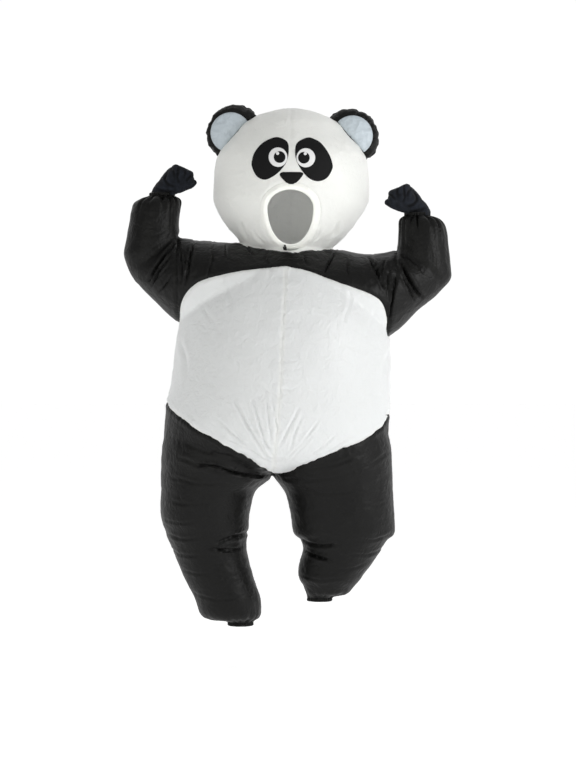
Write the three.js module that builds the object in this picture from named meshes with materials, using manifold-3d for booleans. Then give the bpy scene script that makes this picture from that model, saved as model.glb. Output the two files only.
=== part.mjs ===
// An inflatable panda costume, filled out as it is when worn: a hollow nylon suit with
// an attached head, gathered wrists and ankles, and a pair of black paw gloves.
// Millimetres, +Z up. The front faces -Y and the viewer's left is -X.
// The origin is the middle of the line across the shoulders that carries the suit.
import * as THREE from "three";
import { mergeVertices } from "three/addons/utils/BufferGeometryUtils.js";
import Module from "manifold-3d";

const wasm = await Module();
wasm.setup();

// Driving dimensions
const WALL = 2.5;
const GLOVE_WALL = 2;
const SEAM = 0.3;
const APPLIQUE = 1.2;
const BAND_WIDTH = 22;
const BAND_RECESS = 1.5;
const BAND_START = 20;
const EAR_ALLOWANCE = 12;
const ELASTIC_LENGTH = 12;
const ELASTIC_GATHERS = 8;
const GATHER_DEPTH = 1.5;
const MOUTH_REACH = 20;
const FAR = 700;
const FLOOR_SIDE = -1300;
const MERGE = 1e-4;

// Sections of each inflated form. x and z place the middle of a ring, half is its half
// width as seen from the front and deep its half depth.
const TORSO = [
  { z: -688, x: -40, half: 110, deep: 75 },
  { z: -668, x: -36, half: 245, deep: 175 },
  { z: -630, x: -33, half: 337, deep: 240 },
  { z: -570, x: -33, half: 370, deep: 285 },
  { z: -480, x: -26, half: 369, deep: 310 },
  { z: -380, x: -17, half: 360, deep: 315 },
  { z: -270, x: -10, half: 353, deep: 305 },
  { z: -170, x: -4, half: 341, deep: 281 },
  { z: -105, x: -1, half: 320, deep: 254 },
  { z: -50, x: 2, half: 285, deep: 222 },
  { z: 5, x: 6, half: 228, deep: 178 },
  { z: 38, x: 10, half: 165, deep: 128 },
  { z: 54, x: 12, half: 80, deep: 65 },
];
const SHOULDERS = [
  { x: -512, z: 2, half: 25, deep: 28 },
  { x: -490, z: -4, half: 60, deep: 64 },
  { x: -440, z: -24, half: 92, deep: 98 },
  { x: -350, z: -54, half: 138, deep: 150 },
  { x: -270, z: -70, half: 144, deep: 182 },
  { x: -130, z: -86, half: 150, deep: 210 },
  { x: 15, z: -98, half: 148, deep: 220 },
  { x: 160, z: -102, half: 148, deep: 210 },
  { x: 275, z: -105, half: 136, deep: 180 },
  { x: 338, z: -98, half: 137, deep: 150 },
  { x: 445, z: -54, half: 93, deep: 100 },
  { x: 500, z: -42, half: 58, deep: 62 },
  { x: 522, z: -37, half: 25, deep: 28 },
];
const FOREARM_LEFT = [
  { z: -62, x: -462, half: 35, deep: 32 },
  { z: -12, x: -453, half: 70, deep: 76 },
  { z: 38, x: -447, half: 89, deep: 90 },
  { z: 85, x: -440, half: 86, deep: 88 },
  { z: 140, x: -435, half: 82, deep: 84 },
  { z: 198, x: -425, half: 79, deep: 75 },
  { z: 215, x: -414, half: 62, deep: 58 },
  { z: 222, x: -409, half: 42, deep: 41 },
];
const FOREARM_RIGHT = [
  { z: -98, x: 468, half: 35, deep: 32 },
  { z: -38, x: 462, half: 84, deep: 80 },
  { z: 5, x: 455, half: 86, deep: 88 },
  { z: 60, x: 452, half: 83, deep: 87 },
  { z: 112, x: 450, half: 79, deep: 80 },
  { z: 138, x: 444, half: 72, deep: 70 },
  { z: 150, x: 438, half: 60, deep: 57 },
  { z: 157, x: 433, half: 42, deep: 41 },
];
const THIGH_LEFT = [
  { z: -500, x: -215, half: 120, deep: 120 },
  { z: -560, x: -222, half: 178, deep: 205 },
  { z: -625, x: -228, half: 183, deep: 210 },
  { z: -690, x: -230, half: 183, deep: 196 },
  { z: -752, x: -258, half: 154, deep: 178 },
  { z: -830, x: -267, half: 146, deep: 163 },
  { z: -870, x: -262, half: 139, deep: 150 },
  { z: -910, x: -258, half: 90, deep: 100 },
];
const THIGH_RIGHT = [
  { z: -500, x: 140, half: 120, deep: 120 },
  { z: -560, x: 150, half: 185, deep: 205 },
  { z: -625, x: 152, half: 195, deep: 210 },
  { z: -690, x: 155, half: 195, deep: 196 },
  { z: -758, x: 175, half: 177, deep: 178 },
  { z: -833, x: 187, half: 171, deep: 165 },
  { z: -883, x: 192, half: 168, deep: 156 },
  { z: -925, x: 196, half: 105, deep: 105 },
];
const SHIN_LEFT = [
  { z: -845, x: -262, half: 90, deep: 95 },
  { z: -885, x: -261, half: 130, deep: 138 },
  { z: -940, x: -252, half: 122, deep: 130 },
  { z: -1030, x: -222, half: 114, deep: 118 },
  { z: -1110, x: -190, half: 108, deep: 110 },
  { z: -1145, x: -184, half: 104, deep: 102 },
  { z: -1168, x: -178, half: 88, deep: 84 },
  { z: -1180, x: -150, half: 42, deep: 43 },
];
const SHIN_RIGHT = [
  { z: -862, x: 200, half: 80, deep: 85 },
  { z: -900, x: 196, half: 137, deep: 136 },
  { z: -935, x: 186, half: 124, deep: 130 },
  { z: -985, x: 163, half: 119, deep: 118 },
  { z: -1030, x: 145, half: 103, deep: 106 },
  { z: -1065, x: 141, half: 81, deep: 84 },
  { z: -1085, x: 136, half: 70, deep: 70 },
  { z: -1099, x: 111, half: 41, deep: 42 },
];
const HEAD = [
  { z: 30, x: 14, half: 105, deep: 100 },
  { z: 62, x: 12, half: 150, deep: 142 },
  { z: 100, x: 16, half: 187, deep: 172 },
  { z: 145, x: 14, half: 222, deep: 200 },
  { z: 185, x: 16, half: 246, deep: 218 },
  { z: 217, x: 16.5, half: 256.5, deep: 227 },
  { z: 290, x: 18.5, half: 254, deep: 232 },
  { z: 343, x: 20, half: 247, deep: 228 },
  { z: 375, x: 19.5, half: 231, deep: 215 },
  { z: 422, x: 18, half: 193, deep: 182 },
  { z: 460, x: 18, half: 159, deep: 150 },
  { z: 488, x: 18, half: 108, deep: 102 },
  { z: 507, x: 22, half: 40, deep: 38 },
];

// Gloves: the rings lean with the hand, by tilt degrees
const GLOVES = [
  {
    side: "left",
    hand: [
      { x: -409, z: 208, half: 36, deep: 35, tilt: 0 },
      { x: -408, z: 239, half: 36, deep: 35, tilt: -4 },
      { x: -386, z: 252, half: 44, deep: 41, tilt: -28 },
      { x: -360, z: 268, half: 54, deep: 47, tilt: -34 },
      { x: -344, z: 286, half: 50, deep: 45, tilt: -36 },
      { x: -334, z: 302, half: 34, deep: 33, tilt: -36 },
      { x: -330, z: 313, half: 12, deep: 12, tilt: -36 },
    ],
    thumb: [
      { x: -328, z: 254, half: 20, deep: 20, tilt: -38 },
      { x: -314, z: 265, half: 24, deep: 22, tilt: -38 },
      { x: -304, z: 280, half: 19, deep: 18, tilt: -38 },
      { x: -300, z: 288, half: 7, deep: 8, tilt: -38 },
    ],
  },
  {
    side: "right",
    hand: [
      { x: 433, z: 143, half: 36, deep: 35, tilt: 0 },
      { x: 432, z: 174, half: 36, deep: 35, tilt: 4 },
      { x: 411, z: 186, half: 44, deep: 41, tilt: 28 },
      { x: 386, z: 205, half: 52, deep: 47, tilt: 34 },
      { x: 368, z: 222, half: 47, deep: 45, tilt: 34 },
      { x: 356, z: 235, half: 30, deep: 32, tilt: 34 },
      { x: 352, z: 242, half: 12, deep: 12, tilt: 34 },
    ],
    thumb: [
      { x: 360, z: 186, half: 20, deep: 20, tilt: 38 },
      { x: 347, z: 197, half: 24, deep: 22, tilt: 38 },
      { x: 336, z: 209, half: 18, deep: 18, tilt: 38 },
      { x: 331, z: 215, half: 7, deep: 8, tilt: 38 },
    ],
  },
];

// Ears: each an inflated round lobe, with a round panel set into its front
const EARS = [
  { side: "left", x: -168, z: 432, radius: 92, deep: 48, panelX: -182, panelZ: 430 },
  { side: "right", x: 211, z: 416, radius: 95, deep: 48, panelX: 219, panelZ: 420 },
];
const EAR_PANEL_RADIUS = 66;
const EAR_LEVELS = 7;
const EAR_END = 0.07;

// Face pieces, as seen from the front
const FACE_OPENING = { x: 14.3, low: 55.5, wide: 167, high: 225, half: 74 };
const EYES = [
  { side: "left", patchX: -50, patchZ: 323.5, patchTilt: 52, x: -24, pupilX: -19 },
  { side: "right", patchX: 88, patchZ: 322, patchTilt: 128, x: 63.5, pupilX: 56 },
];
const PATCH_LONG = 75;
const PATCH_SHORT = 54;
const EYE_Z = 326;
const EYE_RADIUS = 31;
const PUPIL_RADIUS = 19;
const NOSE = { x: 17.5, low: 239, high: 279, half: 36, corner: 13 };
const ZIP_END = { x: -3, low: 38, high: 54.5, half: 4 };

// Seam lines of the pattern, as seen from the front. The back has the same lines.
const ARM_PIT_LEFT = { x: -351, z: -193 };
const ARM_PIT_RIGHT = { x: 332, z: -240 };
const CROTCH = { x: -41, z: -686 };
const BELLY_TOP = [
  ARM_PIT_LEFT,
  { x: -334, z: -121 },
  { x: -289, z: -72 },
  { x: -223, z: -49 },
  { x: -125, z: -29 },
  { x: 0, z: -18 },
  { x: 71, z: -33 },
  { x: 169, z: -69 },
  { x: 268, z: -105 },
  { x: 309, z: -133 },
  { x: 326, z: -177 },
  ARM_PIT_RIGHT,
];
const TROUSER_TOP_LEFT = [
  { x: -FAR, z: -456 },
  { x: -387, z: -460 },
  { x: -359, z: -503 },
  { x: -273, z: -541 },
  { x: -173, z: -598 },
  CROTCH,
];
const TROUSER_TOP_RIGHT = [
  CROTCH,
  { x: 13, z: -680 },
  { x: 71, z: -650 },
  { x: 168, z: -608 },
  { x: 287, z: -547 },
  { x: 333, z: -504 },
  { x: FAR, z: -500 },
];
const BELLY_MIDDLE = [{ x: 0, z: -18 }, { x: -12, z: -279 }, { x: -19, z: -424 }, CROTCH];
const NECK_CORNER_LEFT = { x: -322, z: 118 };
const NECK_CORNER_RIGHT = { x: 348, z: 112 };
const NECK = [
  NECK_CORNER_LEFT,
  { x: -187, z: 85 },
  { x: -131, z: 57 },
  { x: -39, z: 39 },
  { x: 22, z: 30 },
  { x: 78, z: 40 },
  { x: 151, z: 48 },
  { x: 207, z: 77 },
  NECK_CORNER_RIGHT,
];
const ARMHOLE_LEFT = [
  ARM_PIT_LEFT,
  { x: -356, z: 60 },
  { x: -353, z: 95 },
  NECK_CORNER_LEFT,
];
const ARMHOLE_RIGHT = [
  ARM_PIT_RIGHT,
  { x: 348, z: -150 },
  { x: 362, z: 30 },
  { x: 366, z: 58 },
  NECK_CORNER_RIGHT,
];
const HEAD_MIDDLE = [{ x: 22, z: 30 }, { x: 18, z: 95 }, { x: 18, z: FAR }];
const BETWEEN_LEGS = [CROTCH, { x: -52, z: -760 }, { x: -40, z: FLOOR_SIDE }];

const WHITE = { color: 0xe4e7e4, roughness: 0.55 };
const BLACK = { color: 0x1c1c1b, roughness: 0.5 };
const GREY = { color: 0xb4bdc6, roughness: 0.6 };
const GLOVE = { color: 0x14181c, roughness: 0.9 };

// A closed surface through rings of points. Rings are level unless tilted about Y.
function loft(rows, { around, between = 1, gathers = 0 }) {
  const middles = new THREE.CatmullRomCurve3(rows.map((row) => new THREE.Vector3(row.x, 0, row.z)));
  const sizes = new THREE.CatmullRomCurve3(
    rows.map((row) => new THREE.Vector3(row.half, row.deep, row.tilt ?? 0)));
  const rings = (rows.length - 1) * between + 1;
  const points = [];
  for (let ring = 0; ring < rings; ring += 1) {
    const share = ring / (rings - 1);
    const middle = middles.getPoint(share);
    const size = sizes.getPoint(share);
    const lean = THREE.MathUtils.degToRad(size.z);
    for (let step = 0; step < around; step += 1) {
      const angle = (2 * Math.PI * step) / around;
      const fullness = 1 + (gathers && Math.cos(gathers * angle) * GATHER_DEPTH / size.x);
      const width = Math.cos(angle) * size.x * fullness;
      points.push(new THREE.Vector3(
        middle.x + width * Math.cos(lean),
        Math.sin(angle) * size.y * fullness,
        middle.z + width * Math.sin(lean)));
    }
  }
  const faces = [];
  for (let ring = 0; ring + 1 < rings; ring += 1) {
    for (let step = 0; step < around; step += 1) {
      const next = (step + 1) % around;
      const [a, b] = [ring * around + step, ring * around + next];
      faces.push([a, b, b + around], [a, b + around, a + around]);
    }
  }
  for (const [ring, turned] of [[0, true], [rings - 1, false]]) {
    const centre = points.push(middles.getPoint(ring / (rings - 1))) - 1;
    for (let step = 0; step < around; step += 1) {
      const [a, b] = [ring * around + step, ring * around + ((step + 1) % around)];
      faces.push(turned ? [centre, b, a] : [centre, a, b]);
    }
  }
  return { points, faces };
}

// The same surface with each point moved out along its normal, as a solid
function solid({ points, faces }, moved = 0) {
  const normals = points.map(() => new THREE.Vector3());
  let volume = 0;
  for (const [a, b, c] of faces) {
    const edge = points[b].clone().sub(points[a]);
    const across = edge.cross(points[c].clone().sub(points[a]));
    volume += across.dot(points[a]);
    for (const corner of [a, b, c]) normals[corner].add(across);
  }
  const outward = Math.sign(volume);
  const vertProperties = new Float32Array(points.flatMap((point, index) =>
    normals[index].normalize().multiplyScalar(moved * outward).add(point).toArray()));
  const triVerts = new Uint32Array(faces.flatMap((face) => (outward > 0 ? face : face.toReversed())));
  return new wasm.Manifold(new wasm.Mesh({ numProp: 3, vertProperties, triVerts }));
}

function fromGeometry(geometry) {
  geometry.deleteAttribute("normal");
  geometry.deleteAttribute("uv");
  const merged = mergeVertices(geometry, MERGE);
  return new wasm.Manifold(new wasm.Mesh({
    numProp: 3,
    vertProperties: new Float32Array(merged.attributes.position.array),
    triVerts: new Uint32Array(merged.index.array),
  }));
}

// A shape drawn as seen from the front, run from one depth to another
function prism(shape, from = -FAR, to = FAR) {
  const geometry = new THREE.ExtrudeGeometry(shape, {
    depth: to - from, bevelEnabled: false, curveSegments: 7 });
  geometry.translate(0, 0, -to);
  geometry.rotateX(Math.PI / 2);
  return fromGeometry(geometry);
}

function outline(corners) {
  return new THREE.Shape(corners.map(({ x, z }) => new THREE.Vector2(x, z)));
}

function oval(x, z, long, short = long, tilt = 0) {
  const turn = THREE.MathUtils.degToRad(tilt);
  return new THREE.Shape().absellipse(x, z, long, short, 0, 2 * Math.PI, false, turn);
}

// A thin slot along a seam line, SEAM wide, mitred at its corners
function seamSlot(line) {
  const sideways = line.slice(1).map((point, index) =>
    new THREE.Vector2(line[index].z - point.z, point.x - line[index].x).normalize());
  const side = (index, sign) => {
    const before = sideways[Math.max(index - 1, 0)];
    const after = sideways[Math.min(index, sideways.length - 1)];
    const shift = (sign * SEAM) / 2 / (1 + before.dot(after));
    return {
      x: line[index].x + (before.x + after.x) * shift,
      z: line[index].z + (before.y + after.y) * shift,
    };
  };
  const there = line.map((point, index) => side(index, -1));
  const back = line.map((point, index) => side(index, 1)).reverse();
  return prism(outline([...there, ...back]));
}

const join = (parts) => parts.reduce((whole, part) => whole.add(part));
const largest = (whole) =>
  whole.decompose().sort((a, b) => b.volume() - a.volume())[0];

const part = new THREE.Group();

function addMesh(name, whole, look) {
  const { vertProperties, triVerts } = largest(whole).getMesh();
  const geometry = new THREE.BufferGeometry();
  geometry.setAttribute("position", new THREE.BufferAttribute(new Float32Array(vertProperties), 3));
  geometry.setIndex(new THREE.BufferAttribute(new Uint32Array(triVerts), 1));
  const material = new THREE.MeshStandardMaterial({ metalness: 0, ...look });
  const mesh = new THREE.Mesh(geometry, material);
  mesh.name = name;
  part.add(mesh);
}

// The open end of a level tube: a plug through its last ring, one wall smaller
function mouth(end, up, wall) {
  return loft([-MOUTH_REACH / 2, MOUTH_REACH].map((reach) => ({
    ...end, z: end.z + up * reach, half: end.half - wall, deep: end.deep - wall,
  })), { around: 2 * ELASTIC_GATHERS });
}

const head = loft(HEAD, { around: 24 });
const torso = loft(TORSO, { around: 22 });
const forms = [
  head,
  torso,
  loft(SHOULDERS.map((row) => ({ ...row, tilt: 90 })), { around: 16 }),
  loft(FOREARM_LEFT, { around: 14 }),
  loft(FOREARM_RIGHT, { around: 14 }),
  loft(THIGH_LEFT, { around: 16 }),
  loft(THIGH_RIGHT, { around: 16 }),
  loft(SHIN_LEFT, { around: 14 }),
  loft(SHIN_RIGHT, { around: 14 }),
];
const OPEN_ENDS = [
  { name: "wrist_left", end: FOREARM_LEFT.at(-1), up: 1 },
  { name: "wrist_right", end: FOREARM_RIGHT.at(-1), up: 1 },
  { name: "ankle_left", end: SHIN_LEFT.at(-1), up: -1 },
  { name: "ankle_right", end: SHIN_RIGHT.at(-1), up: -1 },
];

// The face opening: an egg, widest above its middle
function faceEgg(grown) {
  const { x, low, wide, high, half } = FACE_OPENING;
  const shape = new THREE.Shape();
  const width = half + grown;
  shape.absellipse(x, wide, width, high - wide + grown, 0, Math.PI);
  shape.absellipse(x, wide, width, wide - low + grown, Math.PI, 2 * Math.PI);
  return shape;
}

// Ears are lobes that end on the head, over a hole that lets the air in
const earLobes = EARS.map(({ x, z, radius, deep }) => {
  const rows = Array.from({ length: EAR_LEVELS }, (_, level) => {
    const turn = Math.PI * THREE.MathUtils.lerp(EAR_END, 1 - EAR_END, level / (EAR_LEVELS - 1));
    const reach = Math.sin(turn);
    return { x, z: z - radius * Math.cos(turn), half: radius * reach, deep: deep * reach };
  });
  return loft(rows, { around: 14 });
});
const earHoles = join(earLobes.map((lobe) => solid(lobe, -EAR_ALLOWANCE)));

const skinOutside = join(forms.map((form) => solid(form)));
const skinInside = join([
  ...forms.map((form) => solid(form, -WALL)),
  ...OPEN_ENDS.map(({ end, up }) => solid(mouth(end, up, WALL))),
]);
const seams = join([
  [{ x: -FAR, z: ARM_PIT_LEFT.z }, ...BELLY_TOP, { x: FAR, z: ARM_PIT_RIGHT.z }],
  TROUSER_TOP_LEFT,
  TROUSER_TOP_RIGHT,
  BELLY_MIDDLE,
  ARMHOLE_LEFT,
  ARMHOLE_RIGHT,
  NECK,
  HEAD_MIDDLE,
  BETWEEN_LEGS,
].map(seamSlot));
const faceHole = prism(faceEgg(BAND_WIDTH + SEAM), -FAR, -BAND_START);
const skin = skinOutside.subtract(skinInside).subtract(seams).subtract(faceHole).subtract(earHoles);

// Pattern pieces: each is the skin inside its own outline. The head, yoke and body have
// a front and a back that meet at the side seam; a sleeve or leg is one piece all round.
const reversed = (line) => [...line].reverse();
const HEAD_LEFT = [
  NECK_CORNER_LEFT, ...NECK.slice(1, 5), ...HEAD_MIDDLE.slice(1), { x: NECK_CORNER_LEFT.x, z: FAR }];
const HEAD_RIGHT = [
  ...NECK.slice(4), { x: NECK_CORNER_RIGHT.x, z: FAR }, ...reversed(HEAD_MIDDLE.slice(1))];
const YOKE = [
  ...BELLY_TOP, ...ARMHOLE_RIGHT.slice(1), ...reversed(NECK).slice(1), ...reversed(ARMHOLE_LEFT).slice(1, -1)];
const SLEEVE_LEFT = [
  { x: -FAR, z: ARM_PIT_LEFT.z }, ...ARMHOLE_LEFT, { x: NECK_CORNER_LEFT.x, z: FAR }, { x: -FAR, z: FAR }];
const SLEEVE_RIGHT = [
  { x: FAR, z: ARM_PIT_RIGHT.z }, { x: FAR, z: FAR }, { x: NECK_CORNER_RIGHT.x, z: FAR },
  ...reversed(ARMHOLE_RIGHT)];
const MIDDLE_TOP = BELLY_TOP.findIndex((point) => point.x === BELLY_MIDDLE[0].x);
const BODY_LEFT = [
  { x: -FAR, z: ARM_PIT_LEFT.z }, ...BELLY_TOP.slice(0, MIDDLE_TOP), ...BELLY_MIDDLE,
  ...reversed(TROUSER_TOP_LEFT).slice(1)];
const BODY_RIGHT = [
  ...BELLY_TOP.slice(MIDDLE_TOP), { x: FAR, z: ARM_PIT_RIGHT.z }, ...reversed(TROUSER_TOP_RIGHT),
  ...reversed(BELLY_MIDDLE).slice(1, -1)];
const LEG_LEFT = [
  ...TROUSER_TOP_LEFT, ...BETWEEN_LEGS.slice(1), { x: -FAR, z: FLOOR_SIDE }];
const LEG_RIGHT = [
  ...TROUSER_TOP_RIGHT, { x: FAR, z: FLOOR_SIDE }, ...reversed(BETWEEN_LEGS).slice(0, -1)];
const SPLIT_PANELS = [
  { name: "head_left", corners: HEAD_LEFT, look: WHITE },
  { name: "head_right", corners: HEAD_RIGHT, look: WHITE },
  { name: "yoke", corners: YOKE, look: BLACK },
  { name: "body_left", corners: BODY_LEFT, look: WHITE },
  { name: "body_right", corners: BODY_RIGHT, look: WHITE },
];
const WHOLE_PANELS = [
  { name: "sleeve_left", corners: SLEEVE_LEFT, look: BLACK },
  { name: "sleeve_right", corners: SLEEVE_RIGHT, look: BLACK },
  { name: "leg_left", corners: LEG_LEFT, look: BLACK },
  { name: "leg_right", corners: LEG_RIGHT, look: BLACK },
];
for (const { name, corners, look } of SPLIT_PANELS) {
  addMesh(`${name}_front`, skin.intersect(prism(outline(corners), -FAR, -SEAM / 2)), look);
  addMesh(`${name}_back`, skin.intersect(prism(outline(corners), SEAM / 2, FAR)), look);
}
for (const { name, corners, look } of WHOLE_PANELS) {
  addMesh(name, skin.intersect(prism(outline(corners))), look);
}

// The band round the face, let in a little behind the head's own panels
const bandRing = prism(faceEgg(BAND_WIDTH), -FAR, -BAND_START).subtract(prism(faceEgg(0)));
const bandCloth = solid(head, -BAND_RECESS).subtract(solid(head, -BAND_RECESS - WALL));
addMesh("face_band", bandCloth.intersect(bandRing).subtract(solid(torso, SEAM)), WHITE);

// Cloth laid on the head: cut to its outline, SEAM above the surface below it
function applique(shape, base = SEAM) {
  const layer = solid(head, base + APPLIQUE).subtract(solid(head, base));
  return layer.intersect(prism(shape, -FAR, -BAND_START));
}

const zipOutline = outline([
  { x: ZIP_END.x - ZIP_END.half, z: ZIP_END.low }, { x: ZIP_END.x + ZIP_END.half, z: ZIP_END.low },
  { x: ZIP_END.x + ZIP_END.half, z: ZIP_END.high }, { x: ZIP_END.x - ZIP_END.half, z: ZIP_END.high }]);
addMesh("zip_end", applique(zipOutline, SEAM - BAND_RECESS).subtract(solid(torso, SEAM)), BLACK);

for (const { side, patchX, patchZ, patchTilt, x, pupilX } of EYES) {
  const patch = applique(oval(patchX, patchZ, PATCH_LONG, PATCH_SHORT, patchTilt));
  const eyeHole = prism(oval(x, EYE_Z, EYE_RADIUS + SEAM));
  const pupilHole = prism(oval(pupilX, EYE_Z, PUPIL_RADIUS + SEAM));
  addMesh(`eye_patch_${side}`, patch.subtract(eyeHole), BLACK);
  addMesh(`eye_white_${side}`, applique(oval(x, EYE_Z, EYE_RADIUS)).subtract(pupilHole), WHITE);
  addMesh(`pupil_${side}`, applique(oval(pupilX, EYE_Z, PUPIL_RADIUS)), BLACK);
}

function noseShape() {
  const { x, low, high, half, corner } = NOSE;
  const shape = new THREE.Shape();
  shape.moveTo(x, low);
  shape.quadraticCurveTo(x + corner, low, x + half - corner / 2, high - 2 * corner);
  shape.quadraticCurveTo(x + half + corner / 2, high, x + half - corner, high);
  shape.lineTo(x - half + corner, high);
  shape.quadraticCurveTo(x - half - corner / 2, high, x - half + corner / 2, high - 2 * corner);
  shape.quadraticCurveTo(x - corner, low, x, low);
  return shape;
}
addMesh("nose", applique(noseShape()), BLACK);

// Each ear has its own front panel let in
EARS.forEach(({ side, panelX, panelZ }, index) => {
  const lobe = earLobes[index];
  const cloth = solid(lobe).subtract(solid(lobe, -WALL)).subtract(solid(head, SEAM));
  const panel = prism(oval(panelX, panelZ, EAR_PANEL_RADIUS), -FAR, 0);
  const hole = prism(oval(panelX, panelZ, EAR_PANEL_RADIUS + SEAM), -FAR, 0);
  addMesh(`ear_${side}`, cloth.subtract(hole), BLACK);
  addMesh(`ear_panel_${side}`, cloth.intersect(panel), GREY);
});

// Gathered elastic at each wrist and ankle
for (const { name, end, up } of OPEN_ENDS) {
  const tube = loft([SEAM, SEAM + ELASTIC_LENGTH].map((reach) => ({ ...end, z: end.z + up * reach })),
    { around: 2 * ELASTIC_GATHERS, gathers: ELASTIC_GATHERS });
  const bore = mouth(end, up, WALL + GATHER_DEPTH);
  addMesh(`${name}_elastic`, solid(tube).subtract(solid(bore)), BLACK);
}

// Gloves: a closed fist, open at the wrist where it goes into the sleeve
for (const { side, hand, thumb } of GLOVES) {
  const fist = [loft(hand, { around: 10 }), loft(thumb, { around: 8 })];
  const outside = join(fist.map((form) => solid(form)));
  const inside = join([
    ...fist.map((form) => solid(form, -GLOVE_WALL)), solid(mouth(hand[0], -1, GLOVE_WALL))]);
  addMesh(`glove_${side}`, outside.subtract(inside), GLOVE);
}

export default part;
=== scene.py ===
"""Inflatable panda costume: a fan-filled nylon suit with an attached head, worn shape, and its pair of paw gloves."""

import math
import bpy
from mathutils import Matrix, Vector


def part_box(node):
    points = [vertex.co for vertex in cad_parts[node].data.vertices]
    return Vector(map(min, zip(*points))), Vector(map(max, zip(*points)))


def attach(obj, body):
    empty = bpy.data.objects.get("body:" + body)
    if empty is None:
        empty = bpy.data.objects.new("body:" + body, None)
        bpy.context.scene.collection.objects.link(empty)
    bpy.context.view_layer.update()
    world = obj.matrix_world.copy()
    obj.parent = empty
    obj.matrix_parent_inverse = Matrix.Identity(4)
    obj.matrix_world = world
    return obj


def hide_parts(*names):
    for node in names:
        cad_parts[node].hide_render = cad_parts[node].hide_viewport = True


bl_info = {
    "name": "Inflatable panda costume",
    "version": (1, 0, 0),
    "blender": (4, 5, 0),
    "location": "View3D > Sidebar > Costume",
    "description": "Sews an air-filled panda suit from nylon panels, with its face, ears, elastics and gloves",
    "category": "Add Mesh",
}

import bpy
import bmesh
import numpy as np
from bpy.props import FloatProperty, FloatVectorProperty, PointerProperty
from mathutils import Vector, noise
from mathutils.bvhtree import BVHTree
from mathutils.kdtree import KDTree

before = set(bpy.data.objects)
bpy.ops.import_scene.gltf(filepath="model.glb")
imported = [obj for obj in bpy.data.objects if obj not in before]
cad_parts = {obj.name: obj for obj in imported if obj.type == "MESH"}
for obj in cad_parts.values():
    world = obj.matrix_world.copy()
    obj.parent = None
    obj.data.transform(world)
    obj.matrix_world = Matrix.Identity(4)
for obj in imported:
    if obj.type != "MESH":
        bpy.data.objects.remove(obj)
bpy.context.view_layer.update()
BODY = "root"
MM = 0.001

# ---------------------------------------------------------------- the suit's form, in millimetres, front towards -Y
# Upright tubes: height, middle, half width, half depth.
TORSO = (
    (-688, -40, 110, 75), (-668, -36, 245, 175), (-630, -33, 337, 240), (-570, -33, 370, 285), (-480, -26, 369, 310),
    (-380, -17, 360, 315), (-270, -10, 353, 305), (-170, -4, 341, 281), (-105, -1, 320, 254), (-50, 2, 285, 222),
    (5, 6, 228, 178), (38, 10, 165, 128), (54, 12, 80, 65))
HEAD = (
    (30, 14, 105, 100), (62, 12, 150, 142), (100, 16, 187, 172), (145, 14, 222, 200), (185, 16, 246, 218),
    (217, 16.5, 256.5, 227), (290, 18.5, 254, 232), (343, 20, 247, 228), (375, 19.5, 231, 215), (422, 18, 193, 182),
    (460, 18, 159, 150), (488, 18, 108, 102), (507, 22, 40, 38), (511, 22, 6, 6))
FOREARM_LEFT = (
    (-62, -462, 35, 32), (-12, -453, 70, 76), (38, -447, 89, 90), (85, -440, 86, 88), (140, -435, 82, 84),
    (198, -425, 79, 75), (215, -414, 62, 58), (222, -409, 42, 41), (250, -409, 41, 40))
FOREARM_RIGHT = (
    (-98, 468, 35, 32), (-38, 462, 84, 80), (5, 455, 86, 88), (60, 452, 83, 87), (112, 450, 79, 80),
    (138, 444, 72, 70), (150, 438, 60, 57), (157, 433, 42, 41), (185, 433, 41, 40))
THIGH_LEFT = (
    (-500, -215, 120, 120), (-560, -222, 178, 205), (-625, -228, 183, 210), (-690, -230, 183, 196),
    (-752, -258, 154, 178), (-830, -267, 146, 163), (-870, -262, 139, 150), (-910, -258, 90, 100))
THIGH_RIGHT = (
    (-500, 140, 120, 120), (-560, 150, 185, 205), (-625, 152, 195, 210), (-690, 155, 195, 196),
    (-758, 175, 177, 178), (-833, 187, 171, 165), (-883, 192, 168, 150), (-925, 196, 105, 105))
SHIN_LEFT = (
    (-828, -264, 90, 95), (-866, -262, 138, 150), (-900, -260, 132, 143), (-940, -252, 122, 132),
    (-1030, -222, 114, 118), (-1110, -190, 108, 110), (-1145, -184, 104, 102), (-1168, -178, 88, 84),
    (-1180, -150, 42, 43), (-1205, -150, 42, 43))
SHIN_RIGHT = (
    (-840, 198, 80, 85), (-872, 195, 157, 154), (-905, 193, 144, 144), (-935, 188, 130, 134), (-985, 165, 121, 118),
    (-1030, 147, 105, 106), (-1065, 141, 81, 84), (-1085, 136, 70, 70), (-1099, 111, 41, 42), (-1124, 111, 41, 42))
# The tube across the shoulders: place, height, half height, half depth.
SHOULDERS = (
    (-512, 2, 25, 28), (-490, -4, 60, 64), (-440, -24, 92, 98), (-350, -54, 138, 150), (-270, -70, 144, 182),
    (-130, -86, 150, 210), (15, -98, 148, 220), (160, -102, 148, 210), (275, -105, 136, 180), (338, -98, 137, 150),
    (445, -54, 93, 100), (500, -42, 58, 62), (522, -37, 25, 28))
# Ears: side, middle, height, radius, half depth, and the middle of the grey panel.
EARS = (("left", -168, 432, 92, 48, -182, 430), ("right", 211, 416, 95, 48, 219, 420))
EAR_PANEL_RADIUS, EAR_PANEL_SEAM, EAR_TUCK = 66, 67, 5
EAR_WALL, GLOVE_WALL = 1.2 * MM, 1.4 * MM

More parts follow.
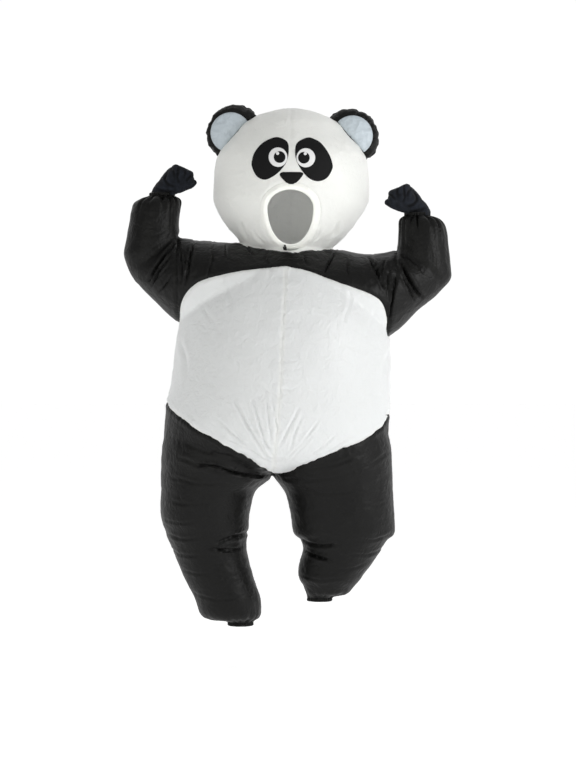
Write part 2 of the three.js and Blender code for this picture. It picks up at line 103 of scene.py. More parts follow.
# Seams seen from the front, place and height.
PIT_LEFT, PIT_RIGHT, CROTCH, NECK_MIDDLE, YOKE_MIDDLE = (-351, -193), (332, -240), (-41, -686), (22, 30), (0, -18)
BELLY_TOP_LEFT = (PIT_LEFT, (-334, -121), (-289, -72), (-223, -49), (-125, -29), YOKE_MIDDLE)
BELLY_TOP_RIGHT = (YOKE_MIDDLE, (71, -33), (169, -69), (268, -105), (309, -133), (326, -177), PIT_RIGHT)
TROUSER_TOP_LEFT = ((-700, -442), (-430, -448), (-397, -453), (-388, -460), (-381, -472), (-367, -485), (-352, -496),
                    (-316, -519), (-290, -538), (-221, -577), (-174, -602), (-128, -630), CROTCH)
TROUSER_TOP_RIGHT = (CROTCH, (13, -680), (71, -650), (168, -608), (246, -580), (292, -549), (311, -536), (328, -515),
                     (336, -501), (352, -494), (700, -488))
BELLY_MIDDLE = (YOKE_MIDDLE, (-12, -279), (-19, -424), CROTCH)
NECK_LEFT = ((-322, 118), (-187, 85), (-131, 57), (-39, 39), NECK_MIDDLE)
NECK_RIGHT = (NECK_MIDDLE, (78, 40), (151, 48), (207, 77), (348, 112))
ARMHOLE_LEFT = (PIT_LEFT, (-356, 60), (-353, 95), (-322, 118))
ARMHOLE_RIGHT = (PIT_RIGHT, (348, -150), (362, 30), (366, 58), (348, 112))
HEAD_MIDDLE = (NECK_MIDDLE, (18, 95), (18, 700))
BETWEEN_LEGS = (CROTCH, (-52, -760), (-40, -1300))

# The face opening: middle, lowest, widest and highest height, half width; and the band sewn round it.
FACE_MIDDLE, FACE_LOW, FACE_WIDE, FACE_HIGH, FACE_HALF = 14.3, 55.5, 167, 225, 74
BAND_WIDTH, BAND_LAP, FACE_FRONT = 22, 4, -60
# The viewpoint that the front folds and the face are drawn for, which is also the camera's.
VIEWER = (6.6, -7000, -396)
FLOOR_HEIGHT, FLOOR_SIZE = -1.312, 180
SKIN_VOXEL, SKIN_ROUNDS, GLOVE_VOXEL, GLOVE_ROUNDS = 0.0052, 7, 0.003, 2
SHARP_RIM = math.radians(50)

# Folds: side of the suit, half width, depth, height of the rolls beside it, points.
FOLDS = (
    # face and hood
    ("front", 9, 5, 2.5, ((-76, 206), (-72, 160), (-78, 112))),
    ("front", 9, 5, 2.5, ((94, 206), (95, 150), (88, 104))),
    ("front", 10, 7, 3, ((-152, 142), (-143, 112), (-126, 80))),
    ("front", 10, 6, 3, ((176, 138), (166, 110), (150, 84))),
    ("front", 8, 4, 2, ((-112, 118), (-96, 88), (-70, 66))),
    ("front", 8, 4, 2, ((116, 122), (104, 92), (84, 70))),
    ("back", 10, 6, 3, ((-150, 150), (-134, 112), (-112, 78))),
    ("back", 10, 6, 3, ((168, 146), (150, 110), (128, 82))),
    ("back", 11, 4, 2, ((-60, 120), (-54, 84), (-60, 56))),
    ("back", 11, 4, 2, ((74, 126), (70, 88), (82, 58))),
    # yoke
    ("front", 6.1, 6.6, 2.8, ((-132, 64), (-124, 46), (-110, 26))),
    ("front", 6.8, 6.6, 2.8, ((163, 50), (146, 10), (124, -38))),
    ("front", 8.2, 8.5, 3.5, ((272, 26), (298, -26), (326, -84))),
    ("front", 7.5, 7.6, 3.5, ((362, -36), (352, -120), (336, -222))),
    ("front", 6.8, 3.8, 1.4, ((212, 30), (204, -10), (214, -62))),
    ("front", 6.8, 3.8, 1.4, ((-232, 44), (-248, 2), (-262, -48))),
    ("front", 8.2, 6.6, 2.8, ((-300, 84), (-318, 20), (-330, -60))),
    ("front", 6.1, 3.3, 1.4, ((-60, 36), (-66, 16), (-52, -6))),
    ("front", 6.1, 3.3, 1.4, ((70, 38), (60, 14), (70, -10))),
    ("back", 6.8, 5.7, 2.1, ((-150, 62), (-138, 24), (-150, -26))),
    ("back", 6.8, 5.7, 2.1, ((178, 50), (160, 10), (168, -40))),
    ("back", 8.2, 7.6, 2.8, ((286, 36), (302, -26), (322, -96))),
    ("back", 8.2, 7.6, 2.8, ((-296, 76), (-312, 10), (-330, -80))),
    # arms
    ("front", 6, 4, 2, ((346, 10), (336, -50), (334, -110))),
    ("front", 6, 4, 2, ((330, 20), (316, -30), (322, -76))),
    ("front", 5, 3, 1.5, ((306, 28), (298, -14), (304, -50))),
    ("front", 5, 3, 1.5, ((356, -60), (350, -140), (340, -190))),
    ("front", 6, 4, 2, ((-352, 60), (-346, -10), (-348, -70))),
    ("front", 5, 3, 1.5, ((-340, 40), (-330, -20), (-338, -90))),
    ("front", 5, 3, 1.5, ((-250, 84), (-238, 50), (-244, 16))),
    ("front", 5, 2.5, 1.5, ((-200, 70), (-196, 36), (-206, 6))),
    ("front", 5, 2.5, 1.2, ((396, 96), (420, 72), (434, 40))),
    ("front", 5, 2.5, 1.2, ((392, 66), (412, 40), (440, 22))),
    ("front", 5, 2.5, 1.2, ((400, 24), (424, 0), (450, -10))),
    ("front", 5, 2.5, 1.2, ((-392, 120), (-420, 96), (-448, 92))),
    ("front", 5, 2.5, 1.2, ((-388, -8), (-420, -44), (-444, -58))),
    ("both", 10.2, 13.3, 4.9, ((-364, 68), (-402, 8), (-448, -62))),
    ("both", 7.5, 7.6, 2.8, ((-372, 26), (-412, -34), (-440, -80))),
    ("both", 6.1, 2.8, 1, ((-378, 88), (-432, 48), (-478, 2))),
    ("both", 6.8, 4.8, 2.1, ((-366, -40), (-396, -78), (-420, -104))),
    ("both", 10.2, 13.3, 4.9, ((372, 8), (414, -80), (450, -116))),
    ("both", 5.4, 2.4, 0.8, ((382, 44), (434, -18), (482, -62))),
    ("both", 6.8, 5.7, 2.1, ((376, -36), (402, -92), (424, -128))),
    # belly
    ("front", 7, 3, 1.5, ((-30, -646), (-78, -580), (-128, -506))),
    ("front", 7, 3.5, 1.5, ((-46, -664), (-118, -620), (-204, -574))),
    ("front", 7, 3, 1.5, ((10, -655), (48, -610), (92, -556))),
    ("front", 7, 3, 1.5, ((12, -618), (30, -560), (54, -500))),
    ("front", 6, 2.5, 1.2, ((-70, -610), (-106, -548), (-140, -486))),
    ("front", 6, 2.5, 1.2, ((-32, -560), (-38, -500), (-48, -440))),
    ("front", 9.9, 4.9, 2.4, ((-60, -646), (-112, -560), (-176, -452))),
    ("front", 8.1, 4.2, 1.8, ((-78, -652), (-150, -584), (-234, -508))),
    ("front", 7.4, 3.5, 1.8, ((-58, -622), (-88, -530), (-116, -438))),
    ("front", 6.8, 3.5, 1.8, ((-110, -656), (-196, -610), (-276, -558))),
    ("front", 7.4, 2.8, 1.2, ((-44, -600), (-58, -520), (-66, -430))),
    ("front", 8.7, 4.2, 1.8, ((-22, -600), (10, -540), (42, -474))),
    ("front", 7.4, 3.5, 1.8, ((6, -640), (62, -580), (112, -506))),
    ("front", 6.8, 2.8, 1.2, ((44, -650), (110, -610), (170, -560))),
    ("front", 6.2, 2.8, 1.2, ((100, -636), (168, -600), (224, -566))),
    ("front", 12, 1.5, 0.8, ((-296, -98), (-268, -150), (-236, -196))),
    ("front", 12, 1.5, 0.8, ((-206, -52), (-190, -110), (-180, -160))),
    ("front", 12, 1.5, 0.8, ((212, -84), (206, -140), (190, -196))),
    ("front", 12, 1.5, 0.8, ((300, -140), (280, -196), (262, -250))),
    ("front", 7, 1.8, 0.9, ((-12, -318), (14, -322), (40, -314))),
    ("front", 7, 1.8, 0.9, ((-14, -346), (16, -352), (46, -344))),
    ("front", 7, 1.8, 0.9, ((-14, -378), (12, -382), (36, -390))),
    ("front", 7, 1.8, 0.9, ((-18, -408), (10, -414), (34, -410))),
    ("front", 14, 3.5, 1.8, ((-352, -240), (-330, -320), (-336, -410))),
    ("front", 14, 3.5, 1.8, ((342, -284), (322, -350), (330, -436))),
    ("back", 15, 6, 3, ((-70, -650), (-126, -560), (-186, -470))),
    ("back", 13, 5, 3, ((-96, -654), (-176, -596), (-254, -530))),
    ("back", 13, 5, 3, ((0, -640), (56, -560), (92, -470))),
    ("back", 12, 5, 3, ((60, -654), (130, -600), (196, -546))),
    ("back", 12, 4, 2, ((-230, -50), (-212, -120), (-204, -190))),
    ("back", 12, 4, 2, ((230, -90), (222, -150), (204, -220))),
    ("back", 8, 3, 2, ((-40, -300), (-10, -306), (20, -300))),
    ("back", 8, 3, 2, ((-44, -344), (-12, -348), (14, -340))),
    # thighs
    ("front", 9, 9, 4, ((-294, -662), (-232, -668), (-184, -684), (-140, -694), (-70, -697))),
    ("front", 10.8, 3.6, 2, ((-358, -636), (-252, -676), (-120, -704))),
    ("front", 9, 2.4, 1.2, ((-330, -596), (-250, -622), (-150, -640))),
    ("front", 9, 2.4, 1.2, ((-386, -700), (-300, -722), (-180, -728))),
    ("front", 9.9, 2.8, 1.6, ((-10, -706), (70, -716), (168, -706))),
    ("front", 9, 2.4, 1.2, ((60, -680), (160, -664), (262, -624))),
    ("front", 9, 2, 1.2, ((200, -690), (284, -660), (344, -610))),
    ("front", 8.1, 2, 1.2, ((40, -742), (130, -760), (220, -750))),
    ("back", 10.8, 3.6, 2, ((-300, -668), (-180, -692), (-70, -700))),
    ("back", 10.8, 3.2, 1.6, ((-10, -706), (90, -714), (210, -690))),
    ("back", 9, 2, 1.2, ((-360, -620), (-270, -650), (-170, -664))),
    ("back", 9, 2, 1.2, ((120, -672), (210, -650), (300, -610))),
    # knees and shins
    ("both", 11, 6.6, 3, ((-232, -912), (-170, -892), (-116, -884))),
    ("both", 10, 6, 3, ((-254, -922), (-212, -933), (-176, -936), (-140, -928))),
    ("both", 9, 2.4, 1.2, ((-398, -884), (-336, -898), (-270, -892))),
    ("both", 8.1, 2, 1.2, ((-392, -936), (-330, -952), (-262, -950))),
    ("both", 8.1, 2, 1.2, ((-410, -836), (-340, -846), (-280, -838))),
    ("both", 9, 7, 3, ((64, -944), (108, -960), (152, -972))),
    ("both", 9.3, 4.8, 2.4, ((52, -902), (106, -922), (176, -916))),
    ("both", 9, 2.4, 1.2, ((356, -884), (296, -902), (232, -898))),
    ("both", 8.1, 2, 1.2, ((330, -932), (276, -950), (206, -946))),
    ("both", 8.1, 1.6, 0.8, ((-120, -1010), (-180, -1022), (-236, -1014))),
    ("both", 8.1, 1.6, 0.8, ((-346, -1000), (-290, -1014), (-236, -1010))),
    ("both", 8.1, 2, 1.2, ((-300, -1080), (-230, -1096), (-150, -1088))),
    ("both", 8.1, 2, 1.2, ((40, -1018), (110, -1034), (190, -1026))),
    ("both", 8.1, 1.6, 0.8, ((262, -984), (210, -998), (150, -992))),
    ("both", 8.1, 1.6, 0.8, ((-386, -770), (-330, -784), (-262, -778))),
    ("both", 8.1, 1.6, 0.8, ((340, -776), (270, -792), (196, -786))),
)


# ---------------------------------------------------------------- form helpers
def deselect():
    if bpy.context.object and bpy.context.object.mode != "OBJECT":
        bpy.ops.object.mode_set(mode="OBJECT")
    bpy.ops.object.select_all(action="DESELECT")


def apply_all(piece):
    """Applies the piece's modifiers in order."""
    deselect()
    bpy.context.view_layer.objects.active = piece
    piece.select_set(True)
    for modifier in list(piece.modifiers):
        bpy.ops.object.modifier_apply(modifier=modifier.name)
    deselect()


def shade_smooth(mesh):
    mesh.polygons.foreach_set("use_smooth", [True] * len(mesh.polygons))


def mesh_piece(name, points, faces):
    """A smooth mesh object from points in metres."""
    mesh = bpy.data.meshes.new(name)
    mesh.from_pydata([tuple(map(float, point)) for point in points], [], [tuple(map(int, face)) for face in faces])
    mesh.update()
    shade_smooth(mesh)
    piece = bpy.data.objects.new(name, mesh)
    bpy.context.collection.objects.link(piece)
    return piece


def thicken(piece, name, wall):
    """Gives a sheet its thickness, inwards from the side that shows."""
    shell = piece.modifiers.new(name, "SOLIDIFY")
    shell.thickness, shell.offset = wall, -1.0
    apply_all(piece)


def opened(piece):
    """The piece's mesh, open to edit."""
    sheet = bmesh.new()
    sheet.from_mesh(piece.data)
    return sheet


def put_back(sheet, piece):
    sheet.to_mesh(piece.data)
    sheet.free()


def places_of(sheet):
    """The middles of the sheet's faces, in millimetres."""
    return np.array([face.calc_center_median()[:] for face in sheet.faces]) / MM


def drop_faces(sheet, gone):
    """Deletes the faces that are flagged."""
    faces = list(sheet.faces)
    bmesh.ops.delete(sheet, geom=[faces[index] for index in np.nonzero(gone)[0]], context="FACES")


def everywhere(points):
    return np.ones(len(points), bool)


def tube_faces(rings, around):
    """Side faces and end caps of a tube whose points are listed ring by ring."""
    faces = []
    for ring in range(rings - 1):
        for turn in range(around):
            a, b = ring * around + turn, ring * around + (turn + 1) % around
            faces.append((a, b, b + around, a + around))
    last = (rings - 1) * around
    return faces + [tuple(range(around))[::-1], tuple(range(last, last + around))]


def hoop_faces(count, size):
    """Faces of a closed section that is carried round a closed hoop."""
    faces = []
    for turn in range(count):
        a, b = turn * size, ((turn + 1) % count) * size
        for index in range(size):
            after = (index + 1) % size
            faces.append((a + index, a + after, b + after, b + index))
    return faces


def eased(places, values, at):
    """A curve through the values that never swings past them."""
    steps = np.diff(places)
    slopes = np.diff(values) / steps
    bends = np.zeros(len(values))
    before, after = slopes[:-1], slopes[1:]
    same = before * after > 0
    bends[1:-1][same] = 2 * before[same] * after[same] / (before[same] + after[same])
    bends[0], bends[-1] = slopes[0], slopes[-1]
    index = np.clip(np.searchsorted(places, at) - 1, 0, len(steps) - 1)
    share = (at - places[index]) / steps[index]
    rise = steps[index]
    return ((2 * share ** 3 - 3 * share ** 2 + 1) * values[index] + (share ** 3 - 2 * share ** 2 + share) * rise
            * bends[index] + (3 * share ** 2 - 2 * share ** 3) * values[index + 1]
            + (share ** 3 - share ** 2) * rise * bends[index + 1])


def upright(rows):
    return [(x, z, half, deep, 0) for z, x, half, deep in rows]


def level(rows):
    return [(x, z, half, deep, 90) for x, z, half, deep in rows]


def tube(rows, around=72, step=9):
    """A closed tube of oval rings through rows of place, height, half width, half depth and tilt."""
    table = np.array(rows, float)
    places = np.concatenate([[0], np.cumsum(np.linalg.norm(np.diff(table[:, :4], axis=0), axis=1))])
    at = np.linspace(0, places[-1], max(4, int(places[-1] / step)))
    x, z, half, deep, tilt = (eased(places, table[:, column], at) for column in range(5))
    angle = np.linspace(0, 2 * math.pi, around, endpoint=False)
    lean = np.radians(tilt)[:, None]
    width = half[:, None] * np.cos(angle)
    points = np.stack([x[:, None] + width * np.cos(lean), deep[:, None] * np.sin(angle),
                       z[:, None] + width * np.sin(lean)], axis=-1).reshape(-1, 3)
    return points * MM, tube_faces(len(at), around)


def gather(parts):
    """Several meshes as one list of points and faces."""
    points, faces = [], []
    for new_points, new_faces in parts:
        faces += [tuple(index + len(points) for index in face) for face in new_faces]
        points += list(new_points)
    return points, faces


def blended(name, parts, voxel, rounds):
    """One even closed skin over overlapping parts."""
    piece = mesh_piece(name, *gather(parts))
    remesh = piece.modifiers.new("skin", "REMESH")
    remesh.mode, remesh.voxel_size, remesh.adaptivity = "VOXEL", voxel, 0
    soften = piece.modifiers.new("soften", "SMOOTH")
    soften.factor, soften.iterations = 0.5, rounds
    apply_all(piece)
    return piece


def between(a, b, c, d, share):
    """A point on the soft line from b to c, with a before them and d after them."""
    return 0.5 * (2 * b + (c - a) * share + (2 * a - 5 * b + 4 * c - d) * share ** 2
                  + (3 * b - a - 3 * c + d) * share ** 3)


def smooth_line(points, step=9):
    """A soft line through points on the front view."""
    table = np.array(points, float)
    if len(table) < 3:
        return table
    padded = np.vstack([2 * table[0] - table[1], table, 2 * table[-1] - table[-2]])
    line = [table[0]]
    for index in range(1, len(padded) - 2):
        four = padded[index - 1:index + 3]
        count = max(2, int(np.linalg.norm(four[2] - four[1]) / step))
        line += [between(*four, share) for share in np.linspace(0, 1, count + 1)[1:]]
    return np.array(line)


def from_line(points, line):
    """Distance of each point to an open line, and how far along it the nearest place is."""
    lengths = np.linalg.norm(np.diff(line, axis=0), axis=1)
    starts = np.concatenate([[0], np.cumsum(lengths)])
    nearest = np.full(len(points), np.inf)
    along = np.zeros(len(points))
    for index, (start, end) in enumerate(zip(line[:-1], line[1:])):
        run = end - start
        share = np.clip((points - start) @ run / max(run @ run, 1e-9), 0, 1)
        gap = np.linalg.norm(points - start - share[:, None] * run, axis=1)
        closer = gap < nearest
        nearest[closer] = gap[closer]
        along[closer] = (starts[index] + share[closer] * lengths[index]) / starts[-1]
    return nearest, along


def encloses(points, outline):
    """Whether each point is inside a closed outline."""
    odd = np.zeros(len(points), bool)
    x, z = points[:, 0], points[:, 1]
    for (ax, az), (bx, bz) in zip(outline, np.roll(outline, -1, axis=0)):
        if az == bz:
            continue
        crosses = (az > z) != (bz > z)
        odd[crosses] ^= x[crosses] < (bx - ax) * (z[crosses] - az) / (bz - az) + ax
    return odd


def inside(points, outline, reach=14.0):
    """Signed distance to a closed outline, positive inside it and no more than the reach."""
    nearest = np.full(len(points), reach)
    for start, end in zip(outline, np.roll(outline, -1, axis=0)):
        low, high = np.minimum(start, end) - reach, np.maximum(start, end) + reach
        here = np.nonzero((points[:, 0] > low[0]) & (points[:, 0] < high[0]) & (points[:, 1] > low[1])
                          & (points[:, 1] < high[1]))[0]
        run = end - start
        share = np.clip((points[here] - start) @ run / max(run @ run, 1e-9), 0, 1)
        gap = np.linalg.norm(points[here] - start - share[:, None] * run, axis=1)
        nearest[here] = np.minimum(nearest[here], gap)
    return np.where(encloses(points, outline), nearest, -nearest)


def face_outline(grown, count=120):
    angle = np.linspace(0, 2 * math.pi, count, endpoint=False)
    height = np.where(np.sin(angle) > 0, FACE_HIGH - FACE_WIDE, FACE_WIDE - FACE_LOW) + grown
    return np.stack([FACE_MIDDLE + (FACE_HALF + grown) * np.cos(angle), FACE_WIDE + height * np.sin(angle)], axis=1)


def wander(points, size, seed):
    """Smooth noise from -1 to 1 at each point, for points and size in millimetres."""
    return np.array([noise.noise(point) for point in (points / size + seed).tolist()])


# ---------------------------------------------------------------- materials
# Metres: thread pitch of the weaves, stitch pitch, and how far in from a seam the stitches lie.
NYLON_PITCH, NYLON_STITCH, NYLON_INSET = 0.0009, 0.0042, 0.0042
CLOTH_PITCH, CLOTH_STITCH, CLOTH_INSET = 0.0011, 0.0034, 0.0026
WALE_PITCH, KNIT_ROW_PITCH = 0.0022, 0.0017


class Wire:
    """A socket's value, which adds its Math nodes when it is used in an expression."""

    def __init__(self, finish, socket):
        self.finish, self.socket = finish, socket

    def _with(self, operation, other=None, swapped=False, clamp=False):
        pair = [self] if other is None else ([other, self] if swapped else [self, other])
        return self.finish.node("ShaderNodeMath", dict(enumerate(pair)), operation=operation, use_clamp=clamp)

    def __add__(self, other):
        return self._with("ADD", other)

    def __sub__(self, other):
        return self._with("SUBTRACT", other)

    def __rsub__(self, other):
        return self._with("SUBTRACT", other, swapped=True)

    def __mul__(self, other):
        return self._with("MULTIPLY", other)

    def __abs__(self):
        return self._with("ABSOLUTE")

    __radd__, __rmul__ = __add__, __mul__

    def over(self, other):
        return self._with("GREATER_THAN", other)

    def sine(self):
        return self._with("SINE")

    def held(self):
        return self._with("ADD", 0.0, clamp=True)

    def falling(self, start, end):
        """1 up to start, easing to 0 at end."""
        return self.finish.node("ShaderNodeMapRange", {"Value": self, "From Min": start, "From Max": end, "To Min": 1.0,
                                                       "To Max": 0.0}, interpolation_type="SMOOTHSTEP")


class Finish:
    """One procedural material on a Principled shader."""

    def __init__(self, name, **constants):
        self.material = bpy.data.materials.new(name)
        self.material.use_nodes = True
        self.tree = self.material.node_tree
        self.shader = self.tree.nodes["Principled BSDF"]
        for socket, value in constants.items():
            self.shader.inputs[socket.replace("_", " ")].default_value = value
        self.place = self.node("ShaderNodeTexCoord", out="Object")

    def node(self, kind, inputs=None, out=0, **settings):
        made = self.tree.nodes.new(kind)
        for setting, value in settings.items():
            setattr(made, setting, value)
        for key, value in (inputs or {}).items():
            if isinstance(value, Wire):
                self.tree.links.new(value.socket, made.inputs[key])
            else:
                made.inputs[key].default_value = value
        return Wire(self, made.outputs[out])

    def grain(self, scale, detail=3.0, rough=0.55, seed=0.0, warp=0.0):
        """Smooth noise about 0, its size given as features for each metre."""
        place = self.place
        if seed:
            place = self.node("ShaderNodeMapping", {"Vector": place, "Location": (seed, seed * 0.7, -seed)})
        return self.node("ShaderNodeTexNoise", {"Vector": place, "Scale": scale, "Detail": detail, "Roughness": rough,
                                                "Distortion": warp}) - 0.5

    def attribute(self, name):
        return self.node("ShaderNodeAttribute", out="Fac", attribute_name=name)

    def mix(self, share, first, second):
        return self.node("ShaderNodeMix", {"Factor": share, 6: first, 7: second}, out=2, data_type="RGBA")

    def varied(self, share, value, dark, light):
        """A colour that wanders from a darker to a lighter tint."""
        return self.mix(share.held(), tint(value, dark), tint(value, light))

    def axes(self):
        parts = self.node("ShaderNodeSeparateXYZ", {0: self.place})
        return [Wire(self, socket) for socket in parts.socket.node.outputs]

    def set(self, **links):
        for key, value in links.items():
            self.tree.links.new(value.socket, self.shader.inputs[key.replace("_", " ")])

    def relief(self, height):
        """Bump from a height in millimetres."""
        self.set(Normal=self.node("ShaderNodeBump", {"Height": height, "Distance": MM, "Strength": 1.0}))


def colour(value):
    """A linear colour from 0-255 display values."""
    shares = [part / 255 for part in value]
    return tuple(part / 12.92 if part <= 0.04045 else ((part + 0.055) / 1.055) ** 2.4 for part in shares) + (1.0,)


def tint(value, factor):
    return tuple(min(1.0, part * factor) for part in value[:3]) + (1.0,)


def weave(finish, pitch):
    """Crossed threads, height from 0 to 1."""
    x, y, z = finish.axes()
    turn = 2 * math.pi / pitch
    return ((x + y * 0.6) * turn).sine() * (z * turn).sine() * 0.5 + 0.5


def nylon(name, cloth, rough, gloss, crumple, seam_shading, spread, crease=0.5, lower=None, **constants):
    """Light woven nylon: fine weave, soft crumples, stitches beside each seam, painted light and shade in a band along
    each seam, and a second colour below the neck.
    """
    finish = Finish(name, Roughness=rough, Specular_IOR_Level=gloss, **constants)
    seam = finish.attribute("seam")
    fine = finish.grain(95, 2.5, 0.5, warp=0.6)
    soft = finish.grain(26, 3.0, 0.55, seed=4.1, warp=0.9)
    ridges = abs(finish.grain(34, 2.0, 0.5, seed=9.3, warp=0.7))
    x, y, z = finish.axes()
    dashes = ((x + y + z * 1.15) * (2 * math.pi / NYLON_STITCH)).sine().over(-0.3)
    line = abs(seam - NYLON_INSET).falling(0.0003, 0.0009)
    seam_shading_mask = seam.falling(0.002, 0.014)
    height = (ridges * (-3.2 * crumple) + soft * (2.6 * crumple) + fine * (0.55 * crumple)
              + weave(finish, NYLON_PITCH) * 0.012 - line * dashes * 0.3 - seam.falling(0.0, 0.0022) * crease)
    finish.relief(height)
    patchy = finish.grain(7, 2.0, 0.5, seed=2.2) * 1.1 + 0.5
    base = finish.varied(patchy, cloth, 1 - spread, 1 + spread)
    if lower:
        base = finish.mix(z.falling(-0.02, 0.03), base, finish.varied(patchy, lower, 1 - spread, 1 + spread))
    # Painted light and shade along the seams: the cloth within about 14 mm of a seam is tinted, darker on the grey ear
    # cloth and lighter on the white and black cloth.
    base = finish.mix((seam_shading_mask * 0.35).held(), base, tint(cloth, seam_shading))
    finish.set(Base_Color=base, Roughness=(fine * 0.12 + soft * 0.1 + rough).held())
    return finish.material


def sewn_cloth(name, cloth, rough, pile):
    """Brushed applique cloth with a stitched edge."""
    finish = Finish(name, Roughness=rough, Specular_IOR_Level=0.2)
    seam = finish.attribute("seam")
    fine = finish.grain(420, 2.0, 0.6)
    soft = finish.grain(60, 2.5, 0.5, seed=3.0)
    x, y, z = finish.axes()
    dashes = ((x + z) * (2 * math.pi / CLOTH_STITCH)).sine().over(-0.2)
    line = abs(seam - CLOTH_INSET).falling(0.0003, 0.0008)
    finish.relief(fine * (0.25 * pile) + soft * 0.5 + weave(finish, CLOTH_PITCH) * 0.03 - line * dashes * 0.3)
    base = finish.varied(finish.grain(14, 2.0, seed=6.0) * 1.2 + 0.5, cloth, 0.93, 1.08)
    base = finish.mix(line * dashes * 0.4, base, tint(cloth, 0.7))
    finish.set(Base_Color=base, Roughness=(fine * 0.2 + rough).held())
    return finish.material


def knit(name, yarn):
    """Fine rib knit with a soft matte pile, with painted shade in the creases and painted light on the ridges of its
    folds.
    """
    finish = Finish(name, Roughness=0.85, Specular_IOR_Level=0.15, Sheen_Weight=0.05, Sheen_Roughness=0.55)
    x, y, z = finish.axes()
    wales = ((x * 0.8 + y) * (2 * math.pi / WALE_PITCH) + finish.grain(40, 2.0) * 5.0).sine()
    rows = (z * (2 * math.pi / KNIT_ROW_PITCH) + wales * 0.9).sine()
    fuzz = finish.grain(700, 2.0, 0.6)
    finish.relief(wales * 0.09 + rows * 0.06 + fuzz * 0.25 + finish.grain(60, 2.0, seed=2.0) * 0.8)
    fold_shade = finish.attribute("fold")
    # Painted light and shade: the fold heights darken the yarn in the creases and lighten it on the ridges.
    finish.set(Base_Color=finish.varied(rows * 0.15 + fuzz * 0.5 + fold_shade * 0.26 + 0.45, yarn, 0.4, 1.9))
    return finish.material


def pale_floor(value, glow):
    """The studio floor: pale, barely uneven and lit a little from inside."""
    finish = Finish("pale_floor", Roughness=0.9, Emission_Color=(1.0, 1.0, 1.0, 1.0), Emission_Strength=glow)
    spots = finish.grain(3, 3.0)
    finish.set(Base_Color=finish.varied(spots * 0.6 + 0.5, value, 0.985, 1.015), Roughness=(spots * 0.1 + 0.9).held())
    return finish.material


def moulded_zip(name, value):
    """Nylon coil and moulded slider."""
    finish = Finish(name, Roughness=0.38, Specular_IOR_Level=0.5)
    specks = finish.grain(900, 2.0)
    finish.relief(specks * 0.06 + finish.grain(160, 2.0, seed=1.0) * 0.08)
    finish.set(Base_Color=finish.varied(specks * 0.8 + 0.5, value, 0.85, 1.2), Roughness=(specks * 0.25 + 0.4).held())
    return finish.material


MATERIALS = {}


def finish_of(slot):
    """The material of a record slot, made once from the colours in the panel."""
    if slot not in MATERIALS:
        colours = bpy.context.scene.panda_colours
        # The third tint of each nylon paints light beside its seams where it is above 1 and painted shade where it is
        # below 1.
        MATERIALS[slot] = {
            "white_nylon": lambda: nylon(slot, colours.white, rough=0.42, gloss=0.4, crumple=1.15, seam_shading=1.02,
                                         spread=0.02, crease=0.1, lower=colours.belly, Subsurface_Weight=0.7,
                                         Subsurface_Radius=(1.0, 1.0, 1.0), Subsurface_Scale=0.004),
            "black_nylon": lambda: nylon(slot, colours.black, rough=0.47, gloss=0.2, crumple=1.1, seam_shading=1.4,
                                         spread=0.12),
            "grey_nylon": lambda: nylon(slot, colours.ear_grey, rough=0.42, gloss=0.45, crumple=1.7, seam_shading=0.85,
                                        spread=0.1),
            "black_applique": lambda: sewn_cloth(slot, colours.face_black, rough=0.72, pile=1.0),
            "white_applique": lambda: sewn_cloth(slot, colours.face_white, rough=0.6, pile=0.8),
            "glove_knit": lambda: knit(slot, colours.glove),
            "black_zip": lambda: moulded_zip(slot, colour((30, 30, 30))),
        }[slot]()
    return MATERIALS[slot]


def hand_in(piece, slot, *nodes):
    """Dresses a finished piece, puts it on the body and hides the solids that it stands for."""
    piece.data.materials.clear()
    piece.data.materials.append(finish_of(slot))
    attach(piece, BODY)
    if nodes:
        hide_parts(*nodes)


def mark(piece, name, values):
    """Stores a value for each point, which the materials read by its name: "seam" is the distance to it in metres."""
    layer = piece.data.attributes.new(name, "FLOAT", "POINT")
    layer.data.foreach_set("value", np.asarray(values, dtype=np.float32))


# ---------------------------------------------------------------- the sewn skin
def closed(*lines):
    return np.array([point for line in lines for point in line], float)


def panel_outlines():
    """Each panel's outline on the front view."""
    belly_left, belly_right = smooth_line(BELLY_TOP_LEFT), smooth_line(BELLY_TOP_RIGHT)
    trouser_left, trouser_right = smooth_line(TROUSER_TOP_LEFT), smooth_line(TROUSER_TOP_RIGHT)
    neck_left, neck_right = smooth_line(NECK_LEFT), smooth_line(NECK_RIGHT)
    arm_left, arm_right = smooth_line(ARMHOLE_LEFT), smooth_line(ARMHOLE_RIGHT)
    middle, between, hood = smooth_line(BELLY_MIDDLE), smooth_line(BETWEEN_LEGS), smooth_line(HEAD_MIDDLE)
    return {
        "sleeve_left": closed(arm_left, [(-322, 700), (-700, 700), (-700, -193)]),
        "sleeve_right": closed(arm_right, [(348, 700), (700, 700), (700, -240)]),
        "leg_left": closed(trouser_left, between, [(-700, -1300)]),
        "leg_right": closed(trouser_right, [(700, -1300)], between[::-1]),
        "yoke": closed(neck_left, neck_right, arm_right[::-1], belly_right[::-1], belly_left[::-1], arm_left),
        "body_left": closed(belly_left, middle, trouser_left[::-1], [(-700, -193)]),
        "body_right": closed(belly_right, [(700, -240)], trouser_right[::-1], middle[::-1]),
        "head_left": closed(neck_left, hood, [(-322, 700)]),
        "head_right": closed(neck_right, [(348, 700)], hood[::-1]),
    }


